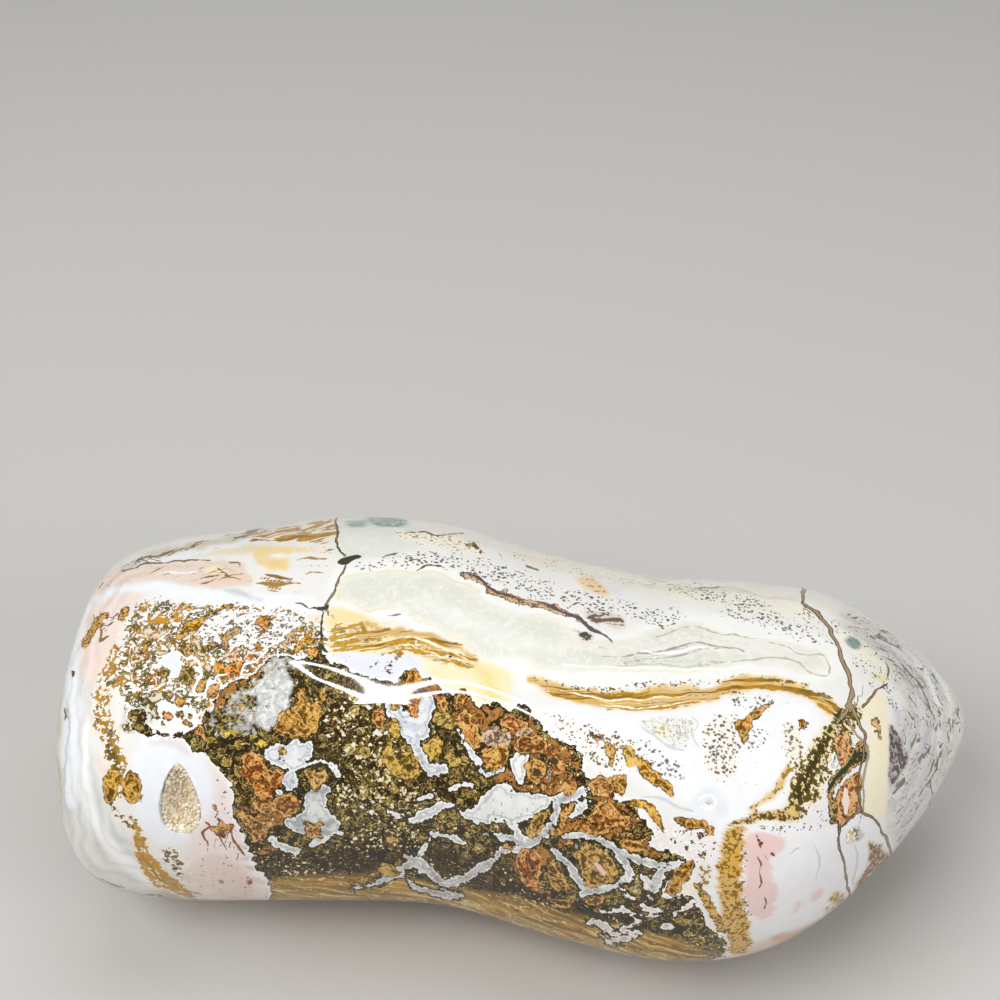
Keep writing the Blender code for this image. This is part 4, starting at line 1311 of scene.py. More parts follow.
# %% Lace at the foot of the jasper
FOOT_LACE = (
    (tint, [(640, 826), (676, 824), (716, 836), (716, 858), (690, 862), (660, 850), (648, 840)], 5, "F0E6E2",
     3, {"fleck": "6A3E2C", "lace": 0.5, "share": 0.3}),
    (tint, [(610, 800), (640, 806), (652, 820), (648, 830), (628, 822), (616, 814)], 5, "F6F2EE", 3,
     {"fleck": "6E4A2A", "lace": 0.4}),
    (tint, [(682, 890), (696, 884), (704, 900), (700, 914), (688, 910)], 6, "F0EAD8"),
    (tint, [(668, 926), (700, 918), (720, 934), (716, 946), (680, 944)], 6, "F0EBE0", 3, {"fleck": "7A4A24",
     "lace": 0.6}),
    (tint, [(700, 868, 4), (706, 884, 4), (708, 870, 4)], 6, "EADFC8", 3, {"fleck": "A58234", "share": 0.8,
     "lace": 0.3}),
)
draw(FOOT_LACE)
FOOT_QUARTZ = (
    [(584, 924, 1), (592, 922, 3), (604, 924, 3.4), (612, 932, 2.6), (622, 932, 2.6), (632, 925, 3),
     (644, 921, 2.4)],
    [(600, 934, 1), (612, 940, 3), (628, 938, 3), (640, 932, 2)],
    [(660, 930, 1), (668, 926, 3), (676, 930, 2)],
    [(674, 914, 1), (686, 908, 3), (694, 902, 2)],
    [(600, 912, 0.8), (620, 909, 1.2), (644, 916, 1), (664, 916, 0.6)],
)
for line in FOOT_QUARTZ:
    crisp("milk", line, "EBD8CC", rough=1.6)
BROWN_FLECKS = (
    (596, 926),
    (628, 930),
    (608, 936),
    (638, 925),
)
for x, y in BROWN_FLECKS:
    crisp("patch", [(x - 4, y - 1, 0.5), (x, y, 1.4), (x + 4, y + 1, 0.4)], "7A4A30", rough=0.6)

# %% [markdown]
# ## Cracks
#
# Two old cracks cross the stone. They have healed with tan mineral between two thin dark lines.

# %% The cracks
CRACKS = (
    [(337, 515, 1.3), (337, 532, 1.2), (337, 547, 1.1), (344, 557, 1.2)],
    [(347, 566, 1.1), (341, 578, 1.1), (334, 592, 1.2), (326, 606, 1.2)],
    [(803, 586, 2.2), (804, 603, 2.2), (819, 616, 2.2), (829, 629, 2.1), (838, 648, 2.2), (844, 664, 2.2),
     (850, 684, 2.2), (852, 696, 2.6), (848, 707, 3)],
    [(804, 600, 0.6), (804, 614, 0.3)],
    [(887, 683, 1.1), (875, 694, 1.4), (862, 707, 1.6)],
    [(852, 706, 2.4), (858, 722, 2), (866, 738, 1.6), (862, 762, 1.3), (860, 790, 1.2), (862, 812, 1.3),
     (874, 818, 1.3), (884, 835, 1.4), (890, 852, 1.4), (898, 861, 1.2)],
    [(838, 820, 1.2), (839, 845, 1.1), (844, 866, 1.2), (848, 888, 1.2), (851, 910, 1)],
    [(862, 812, 1.2), (852, 816, 1.2), (840, 826, 1)],
)
for line in CRACKS:
    seam("crack", line)
CRACK_KNOTS = (
    [(337, 562, 1.2), (344, 562, 3.6), (351, 560, 3), (362, 557, 0.8)],
    [(312, 606, 0.6), (322, 608, 2.6), (328, 607, 2.2), (330, 605, 1)],
    [(323, 612, 1), (321, 625, 1), (322, 640, 1.3), (316, 650, 0.4)],
    [(320, 643, 0.8), (324, 648, 2.2), (328, 652, 0.8)],
    [(833, 714, 1), (838, 715, 2.5), (842, 708, 1.5)],
)
for line in CRACK_KNOTS:
    seam("thread", line, "3F4228")

# %% [markdown]
# ## Onto the mesh
#
# Each layer becomes an attribute of the mesh, so that the material can read it. The bands follow the stone's
# own outline, so one more layer holds their phase, the distance to that outline.

# %% Layers to attributes
OUTLINE = [
    (57, 725), (60, 670), (75, 620), (90, 590), (110, 566), (160, 547), (234, 531), (340, 519),
    (447, 521), (553, 557), (660, 575), (766, 585), (855, 607), (919, 645), (950, 686), (964, 722),
    (950, 772), (919, 825), (885, 862), (810, 934), (710, 962), (610, 947), (500, 919), (400, 900),
    (234, 903), (127, 889), (90, 876), (68, 830),
]
BANDS_REACH = 220.0  # pixels inward of the outline that the bands can follow
BANDS_STEP = 1.1  # pixels for 1 of the phase
layers["phase"] = distance(OUTLINE, far=BANDS_REACH) / BANDS_STEP
for name, values in layers.items():
    if values.ndim == 2:
        made = stone.data.attributes.new(name, "FLOAT_COLOR", "POINT")
        made.data.foreach_set("color", np.column_stack([values, np.ones(count)]).astype(np.float32).ravel())
    else:
        made = stone.data.attributes.new(name, "FLOAT", "POINT")
        made.data.foreach_set("value", values.astype(np.float32))
print("attributes", sorted(layers))

# %% [markdown]
# ## The agate's material
#
# The material reads the layers and adds what is finer than the mesh: ragged edges, flecks of half a
# millimetre, moss-like lace, thin bands, and the rims and squiggles inside the islands. Noise in the stone's
# own coordinates sets all of it, with scales worked out from the size in millimetres of the real features.


# %% A helper that adds nodes
def add(tree, kind, inputs, out=0, **settings):
    """Adds one node, sets its values or links its inputs, and gives back one of its outputs."""
    made = tree.nodes.new(kind)
    for key, value in settings.items():
        setattr(made, key, value)
    for key, value in inputs.items():
        if isinstance(value, bpy.types.NodeSocket):
            tree.links.new(value, made.inputs[key])
        else:
            made.inputs[key].default_value = value
    return made.outputs[out]


# %% What the agate's material reads
# polished agate: clear reflections like glass, and a slight milky glow under the skin
agate = bpy.data.materials.new("polished_agate")
agate.use_nodes = True
tree = agate.node_tree
place = add(tree, "ShaderNodeTexCoord", {}, out="Object")
read = {}
for name, values in layers.items():
    kind = "Color" if values.ndim == 2 else "Fac"
    read[name] = add(tree, "ShaderNodeAttribute", {}, out=kind, attribute_name=name)
# streaks run along the outline: their coordinates change fast across it and slowly along it
ACROSS_STREAKS = 0.34 * MM  # how far the coordinates move for 1 of the phase
ALONG_STREAKS = 0.2  # how far they move along the outline, against the stone's own coordinates
across = add(tree, "ShaderNodeMath", {0: read["phase"], 1: ACROSS_STREAKS}, operation="MULTIPLY")
across = add(tree, "ShaderNodeCombineXYZ", {"X": across})
slowed = {0: place, 1: (ALONG_STREAKS,) * 3, 2: across}
drawn_out = add(tree, "ShaderNodeVectorMath", slowed, operation="MULTIPLY_ADD")
NOISE_GAP = 3.7  # between the noises in their fourth coordinate, so that none repeats another
NOISE_ROUGHNESS = 0.58
# name of the noise, size of its lumps in mm, octaves, distortion, and the coordinates it is laid in
for number, (name, size, octaves, distortion, where) in enumerate(
    (
        ("fine", 0.62, 1.5, 0.0, place),
        ("grit", 1.05, 2.0, 0.3, place),
        ("streak", 0.85, 2.5, 0.5, drawn_out),
        ("worm", 2.0, 2.0, 0.9, place),
        ("small", 1.5, 3.0, 0.0, place),
        ("moss", 2.2, 3.0, 0.8, place),
        ("middle", 3.6, 4.0, 0.3, place),
        ("heart", 5.5, 4.0, 1.2, place),
        ("vein", 6.5, 4.0, 0.8, place),
        ("broad", 11.0, 3.0, 0.2, place),
    )
):
    settings = {"Vector": where, "W": NOISE_GAP * number, "Scale": 1 / (size * MM), "Detail": octaves}
    settings.update({"Roughness": NOISE_ROUGHNESS, "Distortion": distortion})
    read[name] = add(tree, "ShaderNodeTexNoise", settings, noise_dimensions="4D")
# cells for the cream spots and for the jasper's orbs, in coordinates bent a little by the noise
BEND = 1.7 * MM  # how far the noise moves a coordinate
bent = add(tree, "ShaderNodeCombineXYZ", {"X": read["grit"], "Y": read["worm"], "Z": read["small"]})
bent = add(tree, "ShaderNodeVectorMath", {0: bent, 1: (BEND,) * 3, 2: place}, operation="MULTIPLY_ADD")
for name, size in (("spot", 2.1), ("orb", 3.5), ("dash", 1.05)):
    read[name] = add(tree, "ShaderNodeTexVoronoi", {"Vector": bent, "Scale": 1 / (size * MM)})
    colour = tree.nodes[-1].outputs["Color"]
    read[name + "_chance"] = add(tree, "ShaderNodeSeparateColor", {0: colour})

# %% [markdown]
# Each step of arithmetic is one row: its name, the operation, and what goes in. Most make a cover, a number
# from 0 to 1 that says how much of the next colour lies there. A row that says STEP rises from 0 to 1 where
# the first value passes the second, over a span given by the third.

# %% Arithmetic of the agate's material
for name, operation, *values in (
    ("wear", "MULTIPLY_ADD", "small", 15.0, -12.5),
    ("wear", "MULTIPLY_ADD", "middle", 10.0, "wear"),
    ("jasper", "ADD", "jasper", "wear"),
    ("milk", "MULTIPLY_ADD", "wear", 0.8, "milk"),
    ("patch", "MULTIPLY_ADD", "wear", -0.9, "patch"),
    ("crack", "ABSOLUTE", "crack"),
    ("crack", "SUBTRACT", "crack_width", "crack"),
    ("crack", "MULTIPLY_ADD", "wear", 0.15, "crack"),
    ("thread", "ABSOLUTE", "thread"),
    ("thread", "SUBTRACT", "thread_width", "thread"),
    ("thread", "MULTIPLY_ADD", "wear", 0.20, "thread"),
    ("in_thread", "STEP", "thread", 0.0, 0.6),
    ("in_jasper", "GREATER_THAN", "jasper", 0.0),
    ("in_milk", "GREATER_THAN", "milk", 0.0),
    ("in_patch", "GREATER_THAN", "patch", 0.0),
    ("in_crack", "GREATER_THAN", "crack", 0.0),
    ("crack_core", "GREATER_THAN", "crack", 0.9),
    # soft clouds and bands in the white agate
    ("cloud", "STEP", "broad", 0.5, 0.30),
    ("haze", "STEP", "middle", 0.53, 0.22),
    ("wave", "MULTIPLY_ADD", "broad", 26.0, "phase"),
    ("wave", "MULTIPLY", "wave", 0.62),
    ("wave", "SINE", "wave"),
    ("wave", "MULTIPLY", "wave", "bands"),
    ("wave", "MULTIPLY", "wave", "heart"),
    ("dark_band", "MULTIPLY", "wave", 0.9),
    ("pale_band", "MULTIPLY", "wave", -1.2),
    # flecks: ochre with dark rims
    ("loose", "SUBTRACT", 1.0, "grain"),
    ("loose", "MULTIPLY", "loose", "grit"),
    ("grainy", "MULTIPLY_ADD", "streak", "grain", "loose"),
    ("share", "MULTIPLY_ADD", "share", -0.34, 0.78),
    ("above", "SUBTRACT", "grainy", "share"),
    ("fleck_here", "STEP", "above", 0.0, 0.01),
    ("fleck_rim", "COMPARE", "above", 0.0, 0.02),
    ("rim_much", "MULTIPLY_ADD", "grain", -0.5, 0.75),
    ("fleck_rim", "MULTIPLY", "fleck_rim", "rim_much"),
    ("fleck_deep", "STEP", "middle", 0.56, 0.08),
    ("fleck_deep", "MULTIPLY", "fleck_deep", "fleck_here"),
    ("mottle", "STEP", "moss", 0.55, 0.08),
    ("mottle", "MULTIPLY", "mottle", "veil"),
    # dark dashes in clusters
    ("dots_on", "STEP", "dots", 0.15, 0.2),
    ("dots", "MULTIPLY_ADD", "dots", 0.20, -0.285),
    ("dots", "MULTIPLY_ADD", "middle", 0.55, "dots"),
    ("dots", "MULTIPLY_ADD", "dash_chance", 0.2, "dots"),
    ("dots", "SUBTRACT", "dots", "dash"),
    ("dots", "STEP", "dots", 0.0, 0.04),
    ("dots", "MULTIPLY", "dots", "dots_on"),
    # moss-like lace: filled, with a dark rim, and white round it
    ("moss_line", "MULTIPLY_ADD", "lace", -0.25, 0.86),
    ("moss_line", "MULTIPLY_ADD", "broad", -0.25, "moss_line"),
    ("laced", "SUBTRACT", "moss", "moss_line"),
    ("lace_on", "STEP", "lace", 0.04, 0.04),
    ("lace_halo", "STEP", "laced", -0.06, 0.02),
    ("lace_halo", "MULTIPLY", "lace_halo", "lace_on"),
    ("lace_fill", "STEP", "laced", 0.0, 0.01),
    ("lace_fill", "MULTIPLY", "lace_fill", "lace_on"),
    ("lace_rim", "COMPARE", "laced", 0.002, 0.012),
    ("lace_rim", "MULTIPLY", "lace_rim", "lace_on"),
    ("lace_olive", "STEP", "vein", 0.48, 0.03),
    ("lace_olive", "MULTIPLY", "lace_olive", "lace_fill"),
    ("lace_rust", "STEP", "heart", 0.57, 0.03),
    ("lace_rust", "MULTIPLY", "lace_rust", "lace_fill"),
    ("lace_core", "STEP", "laced", 0.085, 0.02),
    ("lace_core", "MULTIPLY", "lace_core", "lace_on"),
    # the jasper's own mosaic
    ("brown", "STEP", "heart", 0.43, 0.05),
    ("olive", "STEP", "heart", 0.52, 0.04),
    ("gold", "STEP", "heart", 0.60, 0.03),
    ("core", "STEP", "heart", 0.645, 0.02),
    ("dark_line", "COMPARE", "heart", 0.594, 0.007),
    ("gold_line", "COMPARE", "heart", 0.612, 0.008),
    ("orb_on", "STEP", "orb_chance", 0.42, 0.02),
    ("orb_line", "COMPARE", "orb", 0.43, 0.03),
    ("orb_line", "MULTIPLY", "orb_line", "orb_on"),
    ("orb_fill", "STEP", "orb", 0.40, -0.03),
    ("orb_fill", "MULTIPLY", "orb_fill", "orb_on"),
    ("orb_gold", "STEP", "orb_chance", 0.70, 0.02),
    ("orb_gold", "MULTIPLY", "orb_gold", "orb_fill"),
    ("orb_ring", "COMPARE", "orb", 0.355, 0.03),
    ("orb_ring", "MULTIPLY", "orb_ring", "orb_on"),
    ("orb_core", "STEP", "orb", 0.17, -0.03),
    ("orb_core", "MULTIPLY", "orb_core", "orb_on"),
    ("orb_pale", "STEP", "orb_chance", 0.88, 0.02),
    ("orb_pale", "MULTIPLY", "orb_pale", "orb_core"),
    ("squiggle", "MULTIPLY", "worm", 25.0),
    ("squiggle", "SINE", "squiggle"),
    ("pale_squiggle", "STEP", "squiggle", -0.84, -0.08),
    ("squiggle", "STEP", "squiggle", 0.74, 0.08),
    ("contour", "MULTIPLY", "pale_squiggle", 0.75),
    ("shade_line", "MULTIPLY", "squiggle", 0.75),
    ("deep", "MULTIPLY", "bands", 0.7),
    ("rusty", "MULTIPLY_ADD", "rust", 0.22, "vein"),
    ("rust_rim", "COMPARE", "rusty", 0.655, 0.012),
    ("rusty", "STEP", "rusty", 0.66, 0.01),
    ("rust_deep", "STEP", "small", 0.55, 0.05),
    ("rust_deep", "MULTIPLY", "rust_deep", "rusty"),
    ("rust_line", "MULTIPLY", "squiggle", "rusty"),
    ("pale_lump", "STEP", "moss", 0.665, 0.01),
    ("speckle", "MULTIPLY_ADD", "speck", 0.09, "grit"),
    ("speckle", "MULTIPLY_ADD", "broad", 0.28, "speckle"),
    ("gold_fleck", "STEP", "speckle", 0.79, 0.02),
    ("cream_fleck", "STEP", "speckle", 0.81, 0.02),
    ("pits", "STEP", "fine", 0.66, 0.03),
    ("pits", "MULTIPLY", "pits", 0.6),
    ("spot_size", "MULTIPLY_ADD", "spot_chance", 0.9, -0.85),
    ("spot_size", "MULTIPLY_ADD", "speck", 0.33, "spot_size"),
    ("spot_size", "MULTIPLY_ADD", "small", 0.5, "spot_size"),
    ("spot_size", "ADD", "spot_size", -0.25),
    ("cream_spot", "LESS_THAN", "spot", "spot_size"),
    # painted reflection along the jasper's foot: a gold-tan ground with dark and pale streaks
    ("painted_reflection_ground", "MULTIPLY", "silt", 0.8),
    ("painted_reflection_dark", "STEP", "streak", 0.53, 0.1),
    ("painted_reflection_dark", "MULTIPLY", "painted_reflection_dark", "silt"),
    ("painted_reflection_pale", "STEP", "streak", 0.42, -0.06),
    ("painted_reflection_pale", "MULTIPLY", "painted_reflection_pale", "silt"),
    ("veiled", "MULTIPLY_ADD", "veil", 0.30, "middle"),
    ("veiled", "MULTIPLY_ADD", "grit", 0.6, "veiled"),
    ("veiled", "STEP", "veiled", 0.99, 0.24),
    ("veil_shade", "STEP", "small", 0.50, 0.15),
    ("veil_on", "STEP", "veil", 0.05, 0.05),
    ("veiled", "MULTIPLY", "veiled", "veil_on"),
    ("veiled", "MULTIPLY", "veiled", 0.92),
    ("veil_shade", "MULTIPLY", "veil_shade", "veiled"),
    # rims of the jasper and of the pale chalcedony in it
    ("jasper_halo", "COMPARE", "jasper", -1.5, 1.3),
    ("jasper_rim", "COMPARE", "jasper", 0.7, 0.7),
    ("milk_shadow", "COMPARE", "milk", -1.0, 1.0),
    ("milk_shadow", "MULTIPLY", "milk_shadow", "in_jasper"),
    ("milk_light", "STEP", "middle", 0.5, 0.12),
    ("milk_rim", "COMPARE", "milk", 0.9, 0.7),
    ("milk_core", "COMPARE", "milk", 3.6, 0.9),
    ("rim_breaks", "STEP", "small", 0.45, 0.04),
    ("milk_rim", "MULTIPLY", "milk_rim", "rim_breaks"),
    ("milk_grit", "STEP", "grit", 0.64, 0.02),
    # rims and insides of the islands
    ("patch_rim", "COMPARE", "patch", -0.1, 0.6),
    ("patch_rim", "MULTIPLY", "patch_rim", "rim_breaks"),
    ("patch_deep", "STEP", "middle", 0.52, 0.10),
    ("patch_pale", "STEP", "small", 0.60, 0.05),
    ("twist", "MULTIPLY", "moss", 24.0),
    ("twist", "SINE", "twist"),
    ("patch_line", "STEP", "twist", 0.40, 0.25),
    ("patch_gold", "STEP", "twist", -0.80, -0.15),
    ("patch_inner", "MULTIPLY_ADD", "wear", 0.35, "patch"),
    ("ring_breaks", "STEP", "middle", 0.47, 0.05),
    ("patch_ring", "COMPARE", "patch_inner", 1.9, 0.5),
    ("patch_ring", "MULTIPLY", "patch_ring", "ring_breaks"),
    ("patch_heart", "COMPARE", "patch_inner", 4.4, 0.45),
    ("patch_heart", "MULTIPLY", "patch_heart", "ring_breaks"),
):
    if operation == "STEP":
        source, at, span = values
        operation, values = "MULTIPLY_ADD", (source, 1 / span, 0.5 - at / span)
        clamped = True
    else:
        clamped = False
    inputs = {i: read[v] if isinstance(v, str) else v for i, v in enumerate(values)}
    read[name] = add(tree, "ShaderNodeMath", inputs, operation=operation, use_clamp=clamped)

# %% [markdown]
# The colours are then laid one over another, first the white agate, then the jasper, and last what lies on
# both.

# %% Colours of the agate's material


def lay(under, coats):
    """Mixes each coat, a cover, a colour and maybe a strength, over what is under it."""
    for cover, colour, *strength in coats:
        over = read[colour] if colour in read else (*linear(colour), 1.0)
        much = read[cover]
        if strength:
            much = add(tree, "ShaderNodeMath", {0: much, 1: strength[0]}, operation="MULTIPLY")
        coat = {0: much, 6: under, 7: over}
        under = add(tree, "ShaderNodeMix", coat, out=2, data_type="RGBA", clamp_factor=True)
    return under


white_side = lay(
    read["ground"],
    (
        ("cloud", "F6F5F2", 0.22),
        ("haze", "D0D2D3", 0.14),
        ("mottle", "F4F3EC", 0.5),
        ("dark_band", "A8A096"),
        ("pale_band", "F8F8F8"),
        ("dots", "50463A", 0.9),
        ("lace_halo", "FAF9F6"),
        ("fleck_here", "fleck"),
        ("fleck_deep", "7A5C1E", 0.35),
        ("fleck_rim", "6A5226"),
        ("lace_fill", "fleck"),
        ("lace_olive", "6E6430"),
        ("lace_rust", "B8702C"),
        ("lace_core", "EFE6D2", 0.8),
        ("lace_rim", "42361A"),
        ("jasper_halo", "F8F6F0", 0.7),
    ),
)
read["dark_side"] = lay(
    (*linear("2A2412"), 1.0),
    (
        ("brown", "3C2E14"),
        ("olive", "54441C"),
        ("gold", "94803C"),
        ("core", "3C3216"),
        ("dark_line", "241C0A"),
        ("gold_line", "C2A455"),
        ("orb_line", "2C240E"),
        ("orb_fill", "5E4E26"),
        ("orb_gold", "A0823A"),
        ("orb_ring", "D8BC6E", 0.85),
        ("orb_core", "3C3416"),
        ("orb_pale", "E0D4B0"),
        ("shade_line", "241C0A"),
        ("contour", "B39C5C"),
        ("deep", "281806"),
        ("rusty", "B27C3E"),
        ("rust_deep", "905E2C", 0.6),
        ("rust_line", "4A2C10", 0.8),
        ("rust_rim", "2A2010"),
        ("pale_lump", "B4B6B4", 0.85),
        # painted reflection along the foot of the jasper
        ("painted_reflection_ground", "CCA04A"),
        ("painted_reflection_dark", "5E421A", 0.7),
        ("painted_reflection_pale", "F0D494", 0.75),
        ("pits", "2A2210"),
        ("gold_fleck", "A88A42", 0.8),
        ("cream_fleck", "EADDB4"),
        ("cream_spot", "F0E8D2"),
        ("veiled", "EDEEEC"),
        ("veil_shade", "8F9590", 0.6),
        ("jasper_rim", "2E2610"),
    ),
)
read["chalcedony"] = lay(
    read["milk_colour"],
    (
        ("milk_light", "F2F1EE", 0.7),
        ("milk_grit", "8C8A86", 0.55),
    ),
)
read["island"] = lay(
    read["patch_colour"],
    (
        ("patch_deep", "80541E", 0.45),
        ("patch_pale", "E6BC74", 0.55),
        ("patch_gold", "EEC47A", 0.75),
        ("patch_line", "45290F", 0.8),
        ("pits", "3C2810"),
    ),
)
both = lay(
    white_side,
    (
        ("in_jasper", "dark_side"),
        ("milk_shadow", "3A321A"),
        ("in_milk", "chalcedony"),
        ("milk_core", "8E8E8A", 0.45),
        ("milk_rim", "F8F7F4", 0.6),
        ("in_patch", "island"),
        ("patch_ring", "E8BC70", 0.65),
        ("patch_heart", "4A3414", 0.7),
        ("patch_rim", "3A2C14", 0.85),
        ("in_thread", "thread_colour"),
        ("in_crack", "54402A"),
        ("crack_core", "A89070"),
    ),
)
shader = tree.nodes["Principled BSDF"]
tree.links.new(both, shader.inputs["Base Color"])
POLISH = {"Roughness": 0.04, "IOR": 1.52, "Subsurface Weight": 0.10, "Subsurface Scale": 0.001}
for name, value in POLISH.items():
    shader.inputs[name].default_value = value
stone.data.materials.clear()
stone.data.materials.append(agate)
print("agate material with", len(tree.nodes), "nodes")

# %% [markdown]
# ## The druse
#
# The hollows are lined with small quartz crystals, six-sided posts with a point. They all have the same
# form, so Geometry Nodes makes one and repeats it: it scatters points over a bowl that follows the
# hollow's wall, and stands a crystal on each, leaning and sized a little at random.

# %% The quartz
# quartz: glassy faces, with a little light passing through the small crystals
quartz = bpy.data.materials.new("quartz_druse")
quartz.use_nodes = True
tree = quartz.node_tree
place = add(tree, "ShaderNodeTexCoord", {}, out="Object")
tone = add(tree, "ShaderNodeTexNoise", {"Vector": place, "Scale": 1 / (1.6 * MM), "Detail": 3.0})
share = add(tree, "ShaderNodeMath", {0: tone, 1: 3.0, 2: -1.0}, operation="MULTIPLY_ADD", use_clamp=True)
shades = {0: share, 6: (*linear("E2CDA6"), 1.0), 7: (*linear("FFF8EA"), 1.0)}
shader = tree.nodes["Principled BSDF"]
tree.links.new(add(tree, "ShaderNodeMix", shades, out=2, data_type="RGBA"), shader.inputs["Base Color"])
GLASSY = {"Roughness": 0.08, "IOR": 1.55, "Subsurface Weight": 0.1, "Subsurface Scale": 0.0008}
for name, value in GLASSY.items():
    shader.inputs[name].default_value = value

# %% One crystal and how it repeats
DENSEST = 9e6  # feet on a square metre, far more than the spacing lets in
LEAN = 0.55  # radians that a crystal may lean each way
SMALLEST, LARGEST = 0.55, 1.35  # times the crystal's own size
grow = bpy.data.node_groups.new("druse", "GeometryNodeTree")
socket_ids = {}
for label, kind in (
    ("Bowl", "Geometry"),
    ("Spacing", "Float"),
    ("Crystal radius", "Float"),
    ("Crystal height", "Float"),
    ("Seed", "Int"),
    ("Finish", "Material"),
):
    made = grow.interface.new_socket(name=label, in_out="INPUT", socket_type="NodeSocket" + kind)
    socket_ids[label] = made.identifier
grow.interface.new_socket(name="Druse", in_out="OUTPUT", socket_type="NodeSocketGeometry")
ask = grow.nodes.new("NodeGroupInput").outputs
scatter = {"Mesh": ask["Bowl"], "Distance Min": ask["Spacing"], "Density Max": DENSEST}
scatter["Seed"] = ask["Seed"]
feet = add(grow, "GeometryNodeDistributePointsOnFaces", scatter, distribute_method="POISSON")
turn = grow.nodes[-1].outputs["Rotation"]
part = {}
for name, source, much in (
    ("tip_height", "Crystal height", 0.45),
    ("tip_radius", "Crystal radius", 0.06),
    ("post_height", "Crystal height", 0.6),
    ("half_post", "Crystal height", 0.3),
):
    part[name] = add(grow, "ShaderNodeMath", {0: ask[source], 1: much}, operation="MULTIPLY")
post = {"Vertices": 6, "Radius": ask["Crystal radius"], "Depth": part["post_height"]}
post = add(grow, "GeometryNodeMeshCylinder", post, fill_type="NONE")
tip = {"Vertices": 6, "Radius Top": part["tip_radius"], "Radius Bottom": ask["Crystal radius"]}
tip = add(grow, "GeometryNodeMeshCone", {**tip, "Depth": part["tip_height"]}, fill_type="NONE")
up = add(grow, "ShaderNodeCombineXYZ", {"Z": part["half_post"]})
tip = add(grow, "GeometryNodeTransform", {"Geometry": tip, "Translation": up})
crystal = grow.nodes.new("GeometryNodeJoinGeometry")
grow.links.new(post, crystal.inputs[0])
grow.links.new(tip, crystal.inputs[0])
crystal = add(grow, "GeometryNodeSetShadeSmooth", {0: crystal.outputs[0], "Shade Smooth": False})
lean = {0: (-LEAN,) * 3, 1: (LEAN,) * 3, "Seed": ask["Seed"]}
lean = add(grow, "FunctionNodeRandomValue", lean, data_type="FLOAT_VECTOR")
lean = add(grow, "FunctionNodeEulerToRotation", {0: lean})
turn = add(grow, "FunctionNodeRotateRotation", {0: turn, 1: lean}, rotation_space="LOCAL")
size = {2: SMALLEST, 3: LARGEST, "Seed": ask["Seed"]}
size = add(grow, "FunctionNodeRandomValue", size, out=1, data_type="FLOAT")
stand = {"Points": feet, "Instance": crystal, "Rotation": turn, "Scale": size}
stand = add(grow, "GeometryNodeInstanceOnPoints", stand)
whole = grow.nodes.new("GeometryNodeJoinGeometry")
grow.links.new(stand, whole.inputs[0])
grow.links.new(ask["Bowl"], whole.inputs[0])
real = add(grow, "GeometryNodeRealizeInstances", {0: whole.outputs[0]})
done = add(grow, "GeometryNodeSetMaterial", {0: real, "Material": ask["Finish"]})
grow.links.new(done, grow.nodes.new("NodeGroupOutput").inputs[0])

# %% The crust in each hollow
SPACING = {"crystal_crust": 0.95, "small_crystal_crust": 0.7}  # mm between the crystals' feet
CRUST_GAP = 0.35  # mm between the bowl and the hollow's wall
RIM_DROP = 0.5  # mm that the bowl's rim lies below the mouth
for seed, (name, hollow) in enumerate(HOLLOWS.items()):
    bowl = egg(name + "_druse", hollow, CRUST_GAP)
    bm = bmesh.new()
    bm.from_mesh(bowl.data)
    inward = hollow_frame(hollow)
    rim = inward @ Vector((0, 0, -RIM_DROP * MM))
    geometry = bm.verts[:] + bm.edges[:] + bm.faces[:]
    bmesh.ops.bisect_plane(bm, geom=geometry, plane_co=rim, plane_no=inward.col[2].xyz, clear_outer=True)
    bmesh.ops.reverse_faces(bm, faces=bm.faces[:])
    bowl.data = ordered_mesh(bowl.name, bm)
    modifier = bowl.modifiers.new("druse", "NODES")
    modifier.node_group = grow
    for label, value in (
        ("Spacing", SPACING[name] * MM),
        ("Crystal radius", 0.54 * MM),
        ("Crystal height", 1.35 * MM),
        ("Seed", seed + 3),
        ("Finish", quartz),
    ):
        modifier[socket_ids[label]] = value
    bpy.context.view_layer.update()
    plain = bpy.data.meshes.new_from_object(bowl.evaluated_get(bpy.context.evaluated_depsgraph_get()))
    bowl.modifiers.clear()
    bowl.data = plain
    print(bowl.name, len(plain.polygons), "faces")
    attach(bowl, "root")
    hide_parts(name)

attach(stone, "root")
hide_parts("agate_body")

# %% [markdown]
# ## The studio
#
# A pale floor and broad soft light let the colours speak. A polished stone also needs something small and
# bright to reflect, so two bent tubes hang overhead: they draw the thin bright leaf on its back.
# The soft boxes are kept out of the reflections, where they would lay a grey sheet over the markings.


# %% Floor
def plain_material(name, colour, roughness):
    material = bpy.data.materials.new(name)
    material.use_nodes = True
    shader = material.node_tree.nodes["Principled BSDF"]
    shader.inputs["Base Color"].default_value = (*linear(colour), 1.0)
    shader.inputs["Roughness"].default_value = roughness
    return material


REACH = 6.0  # m from the stone to the floor's edge
corners = [(-REACH, -REACH, 0), (REACH, -REACH, 0), (REACH, REACH, 0), (-REACH, REACH, 0)]
floor_mesh = bpy.data.meshes.new("studio_floor")
floor_mesh.from_pydata(corners, [], [(0, 1, 2, 3)])
floor = bpy.data.objects.new("studio_floor", floor_mesh)
floor_mesh.materials.append(plain_material("pale_paper", "C8C6C2", 0.7))
bpy.context.scene.collection.objects.link(floor)

# %% Lights and world
SHIFTED = Vector(SHIFT) * MM
AIM = (0.0, 0.0, 0.04)  # m, what the soft boxes point at
TUBE_HEIGHT, TUBE_WIDTH, GLOW = 1100, 15, 40.0  # mm, mm, and how bright the tubes are
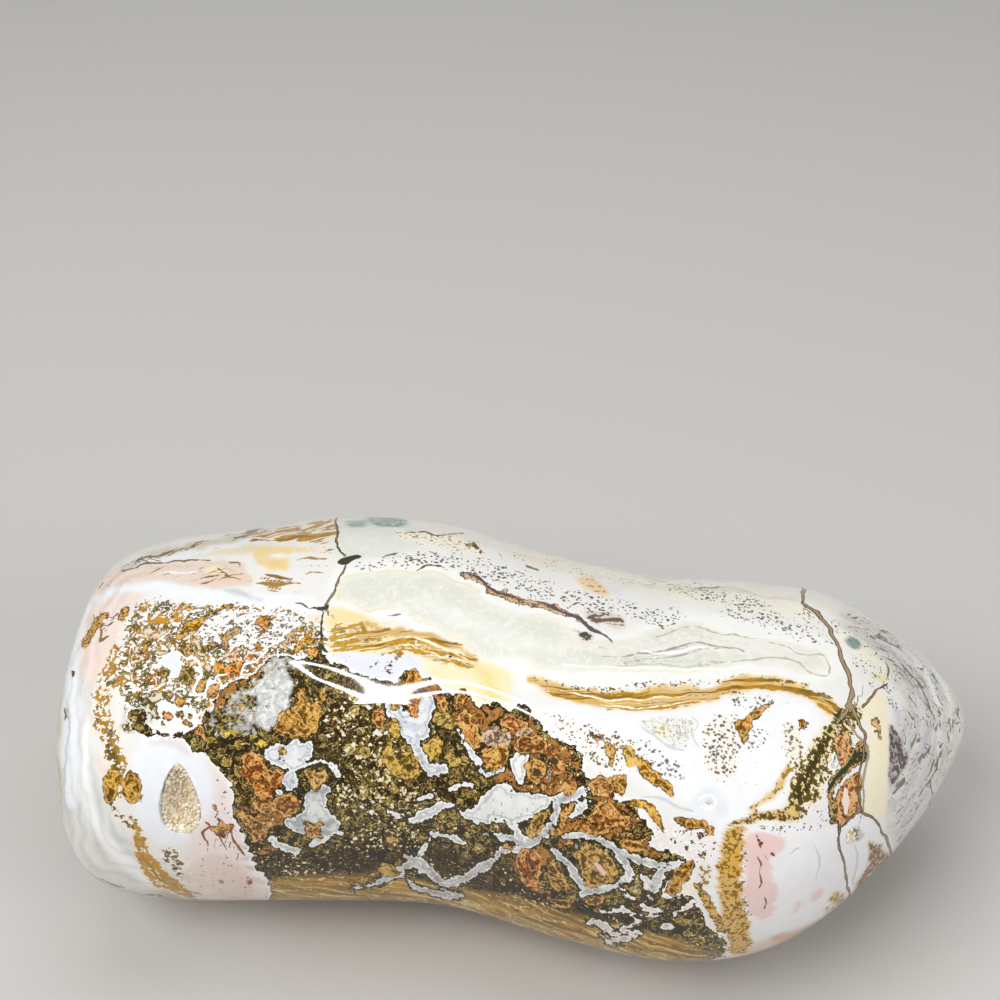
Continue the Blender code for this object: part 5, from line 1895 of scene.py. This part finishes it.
# where two bent tubes hang overhead, in mm
TUBES = (
    [
        (-331, 153), (-275, 112), (-218, 71), (-188, 33), (-161, -23),
        (-135, -81), (-122, -180), (-120, -284), (-136, -398),
    ],
    [
        (-331, 153), (-282, 24), (-247, -53), (-193, -133), (-157, -215),
        (-138, -279), (-124, -345), (-136, -398),
    ],
)


def hang(name, spot, turn, across, along, power):
    """Hangs a rectangular lamp."""
    data = bpy.data.lights.new(name, "AREA")
    data.shape = "RECTANGLE"
    data.size, data.size_y = across, along
    data.energy = power
    lamp = bpy.data.objects.new(name, data)
    lamp.location = Vector(spot) + SHIFTED
    lamp.rotation_euler = turn
    bpy.context.scene.collection.objects.link(lamp)
    return lamp


# name, place in m, width and length in m, and power in watts
for name, spot, across, along, power in (
    ("key_softbox", (-0.75, -0.55, 1.15), 0.9, 0.9, 14.4),
    ("fill_softbox", (1.1, -0.7, 0.8), 0.9, 0.7, 7.4),
    ("top_softbox", (0.1, 0.35, 1.3), 1.2, 0.9, 6.4),
):
    turn = (Vector(AIM) - Vector(spot)).to_track_quat("-Z", "Y").to_euler()
    hang(name, spot, turn, across, along, power).visible_glossy = False
for path in TUBES:
    for start, end in zip(path[:-1], path[1:]):
        way = (Vector(end) - Vector(start)) * MM
        spot = ((start[0] + end[0]) / 2 * MM, (start[1] + end[1]) / 2 * MM, TUBE_HEIGHT * MM)
        area = TUBE_WIDTH * MM * way.length
        turn = (0.0, 0.0, math.atan2(way.y, way.x) - math.pi / 2)
        hang("tube", spot, turn, TUBE_WIDTH * MM, way.length, GLOW * math.pi * area).visible_diffuse = False
world = bpy.data.worlds.new("soft_sky")
world.use_nodes = True
world.node_tree.nodes["Background"].inputs["Color"].default_value = (*linear("F2F2F2"), 1.0)
world.node_tree.nodes["Background"].inputs["Strength"].default_value = 0.22
bpy.context.scene.world = world
bpy.context.scene.view_settings.view_transform = "Standard"

# %% Camera
camera_data = bpy.data.cameras.new("eye")
camera_data.lens = camera_data.sensor_width * LENS_PIXELS / PICTURE_SIDE
camera_data.clip_end = 20.0
camera = bpy.data.objects.new("eye", camera_data)
camera.location = Vector(VIEWER + SHIFT) * MM
camera.rotation_euler = (math.pi / 2 - PITCH, 0.0, 0.0)
bpy.context.scene.collection.objects.link(camera)
bpy.context.scene.camera = camera
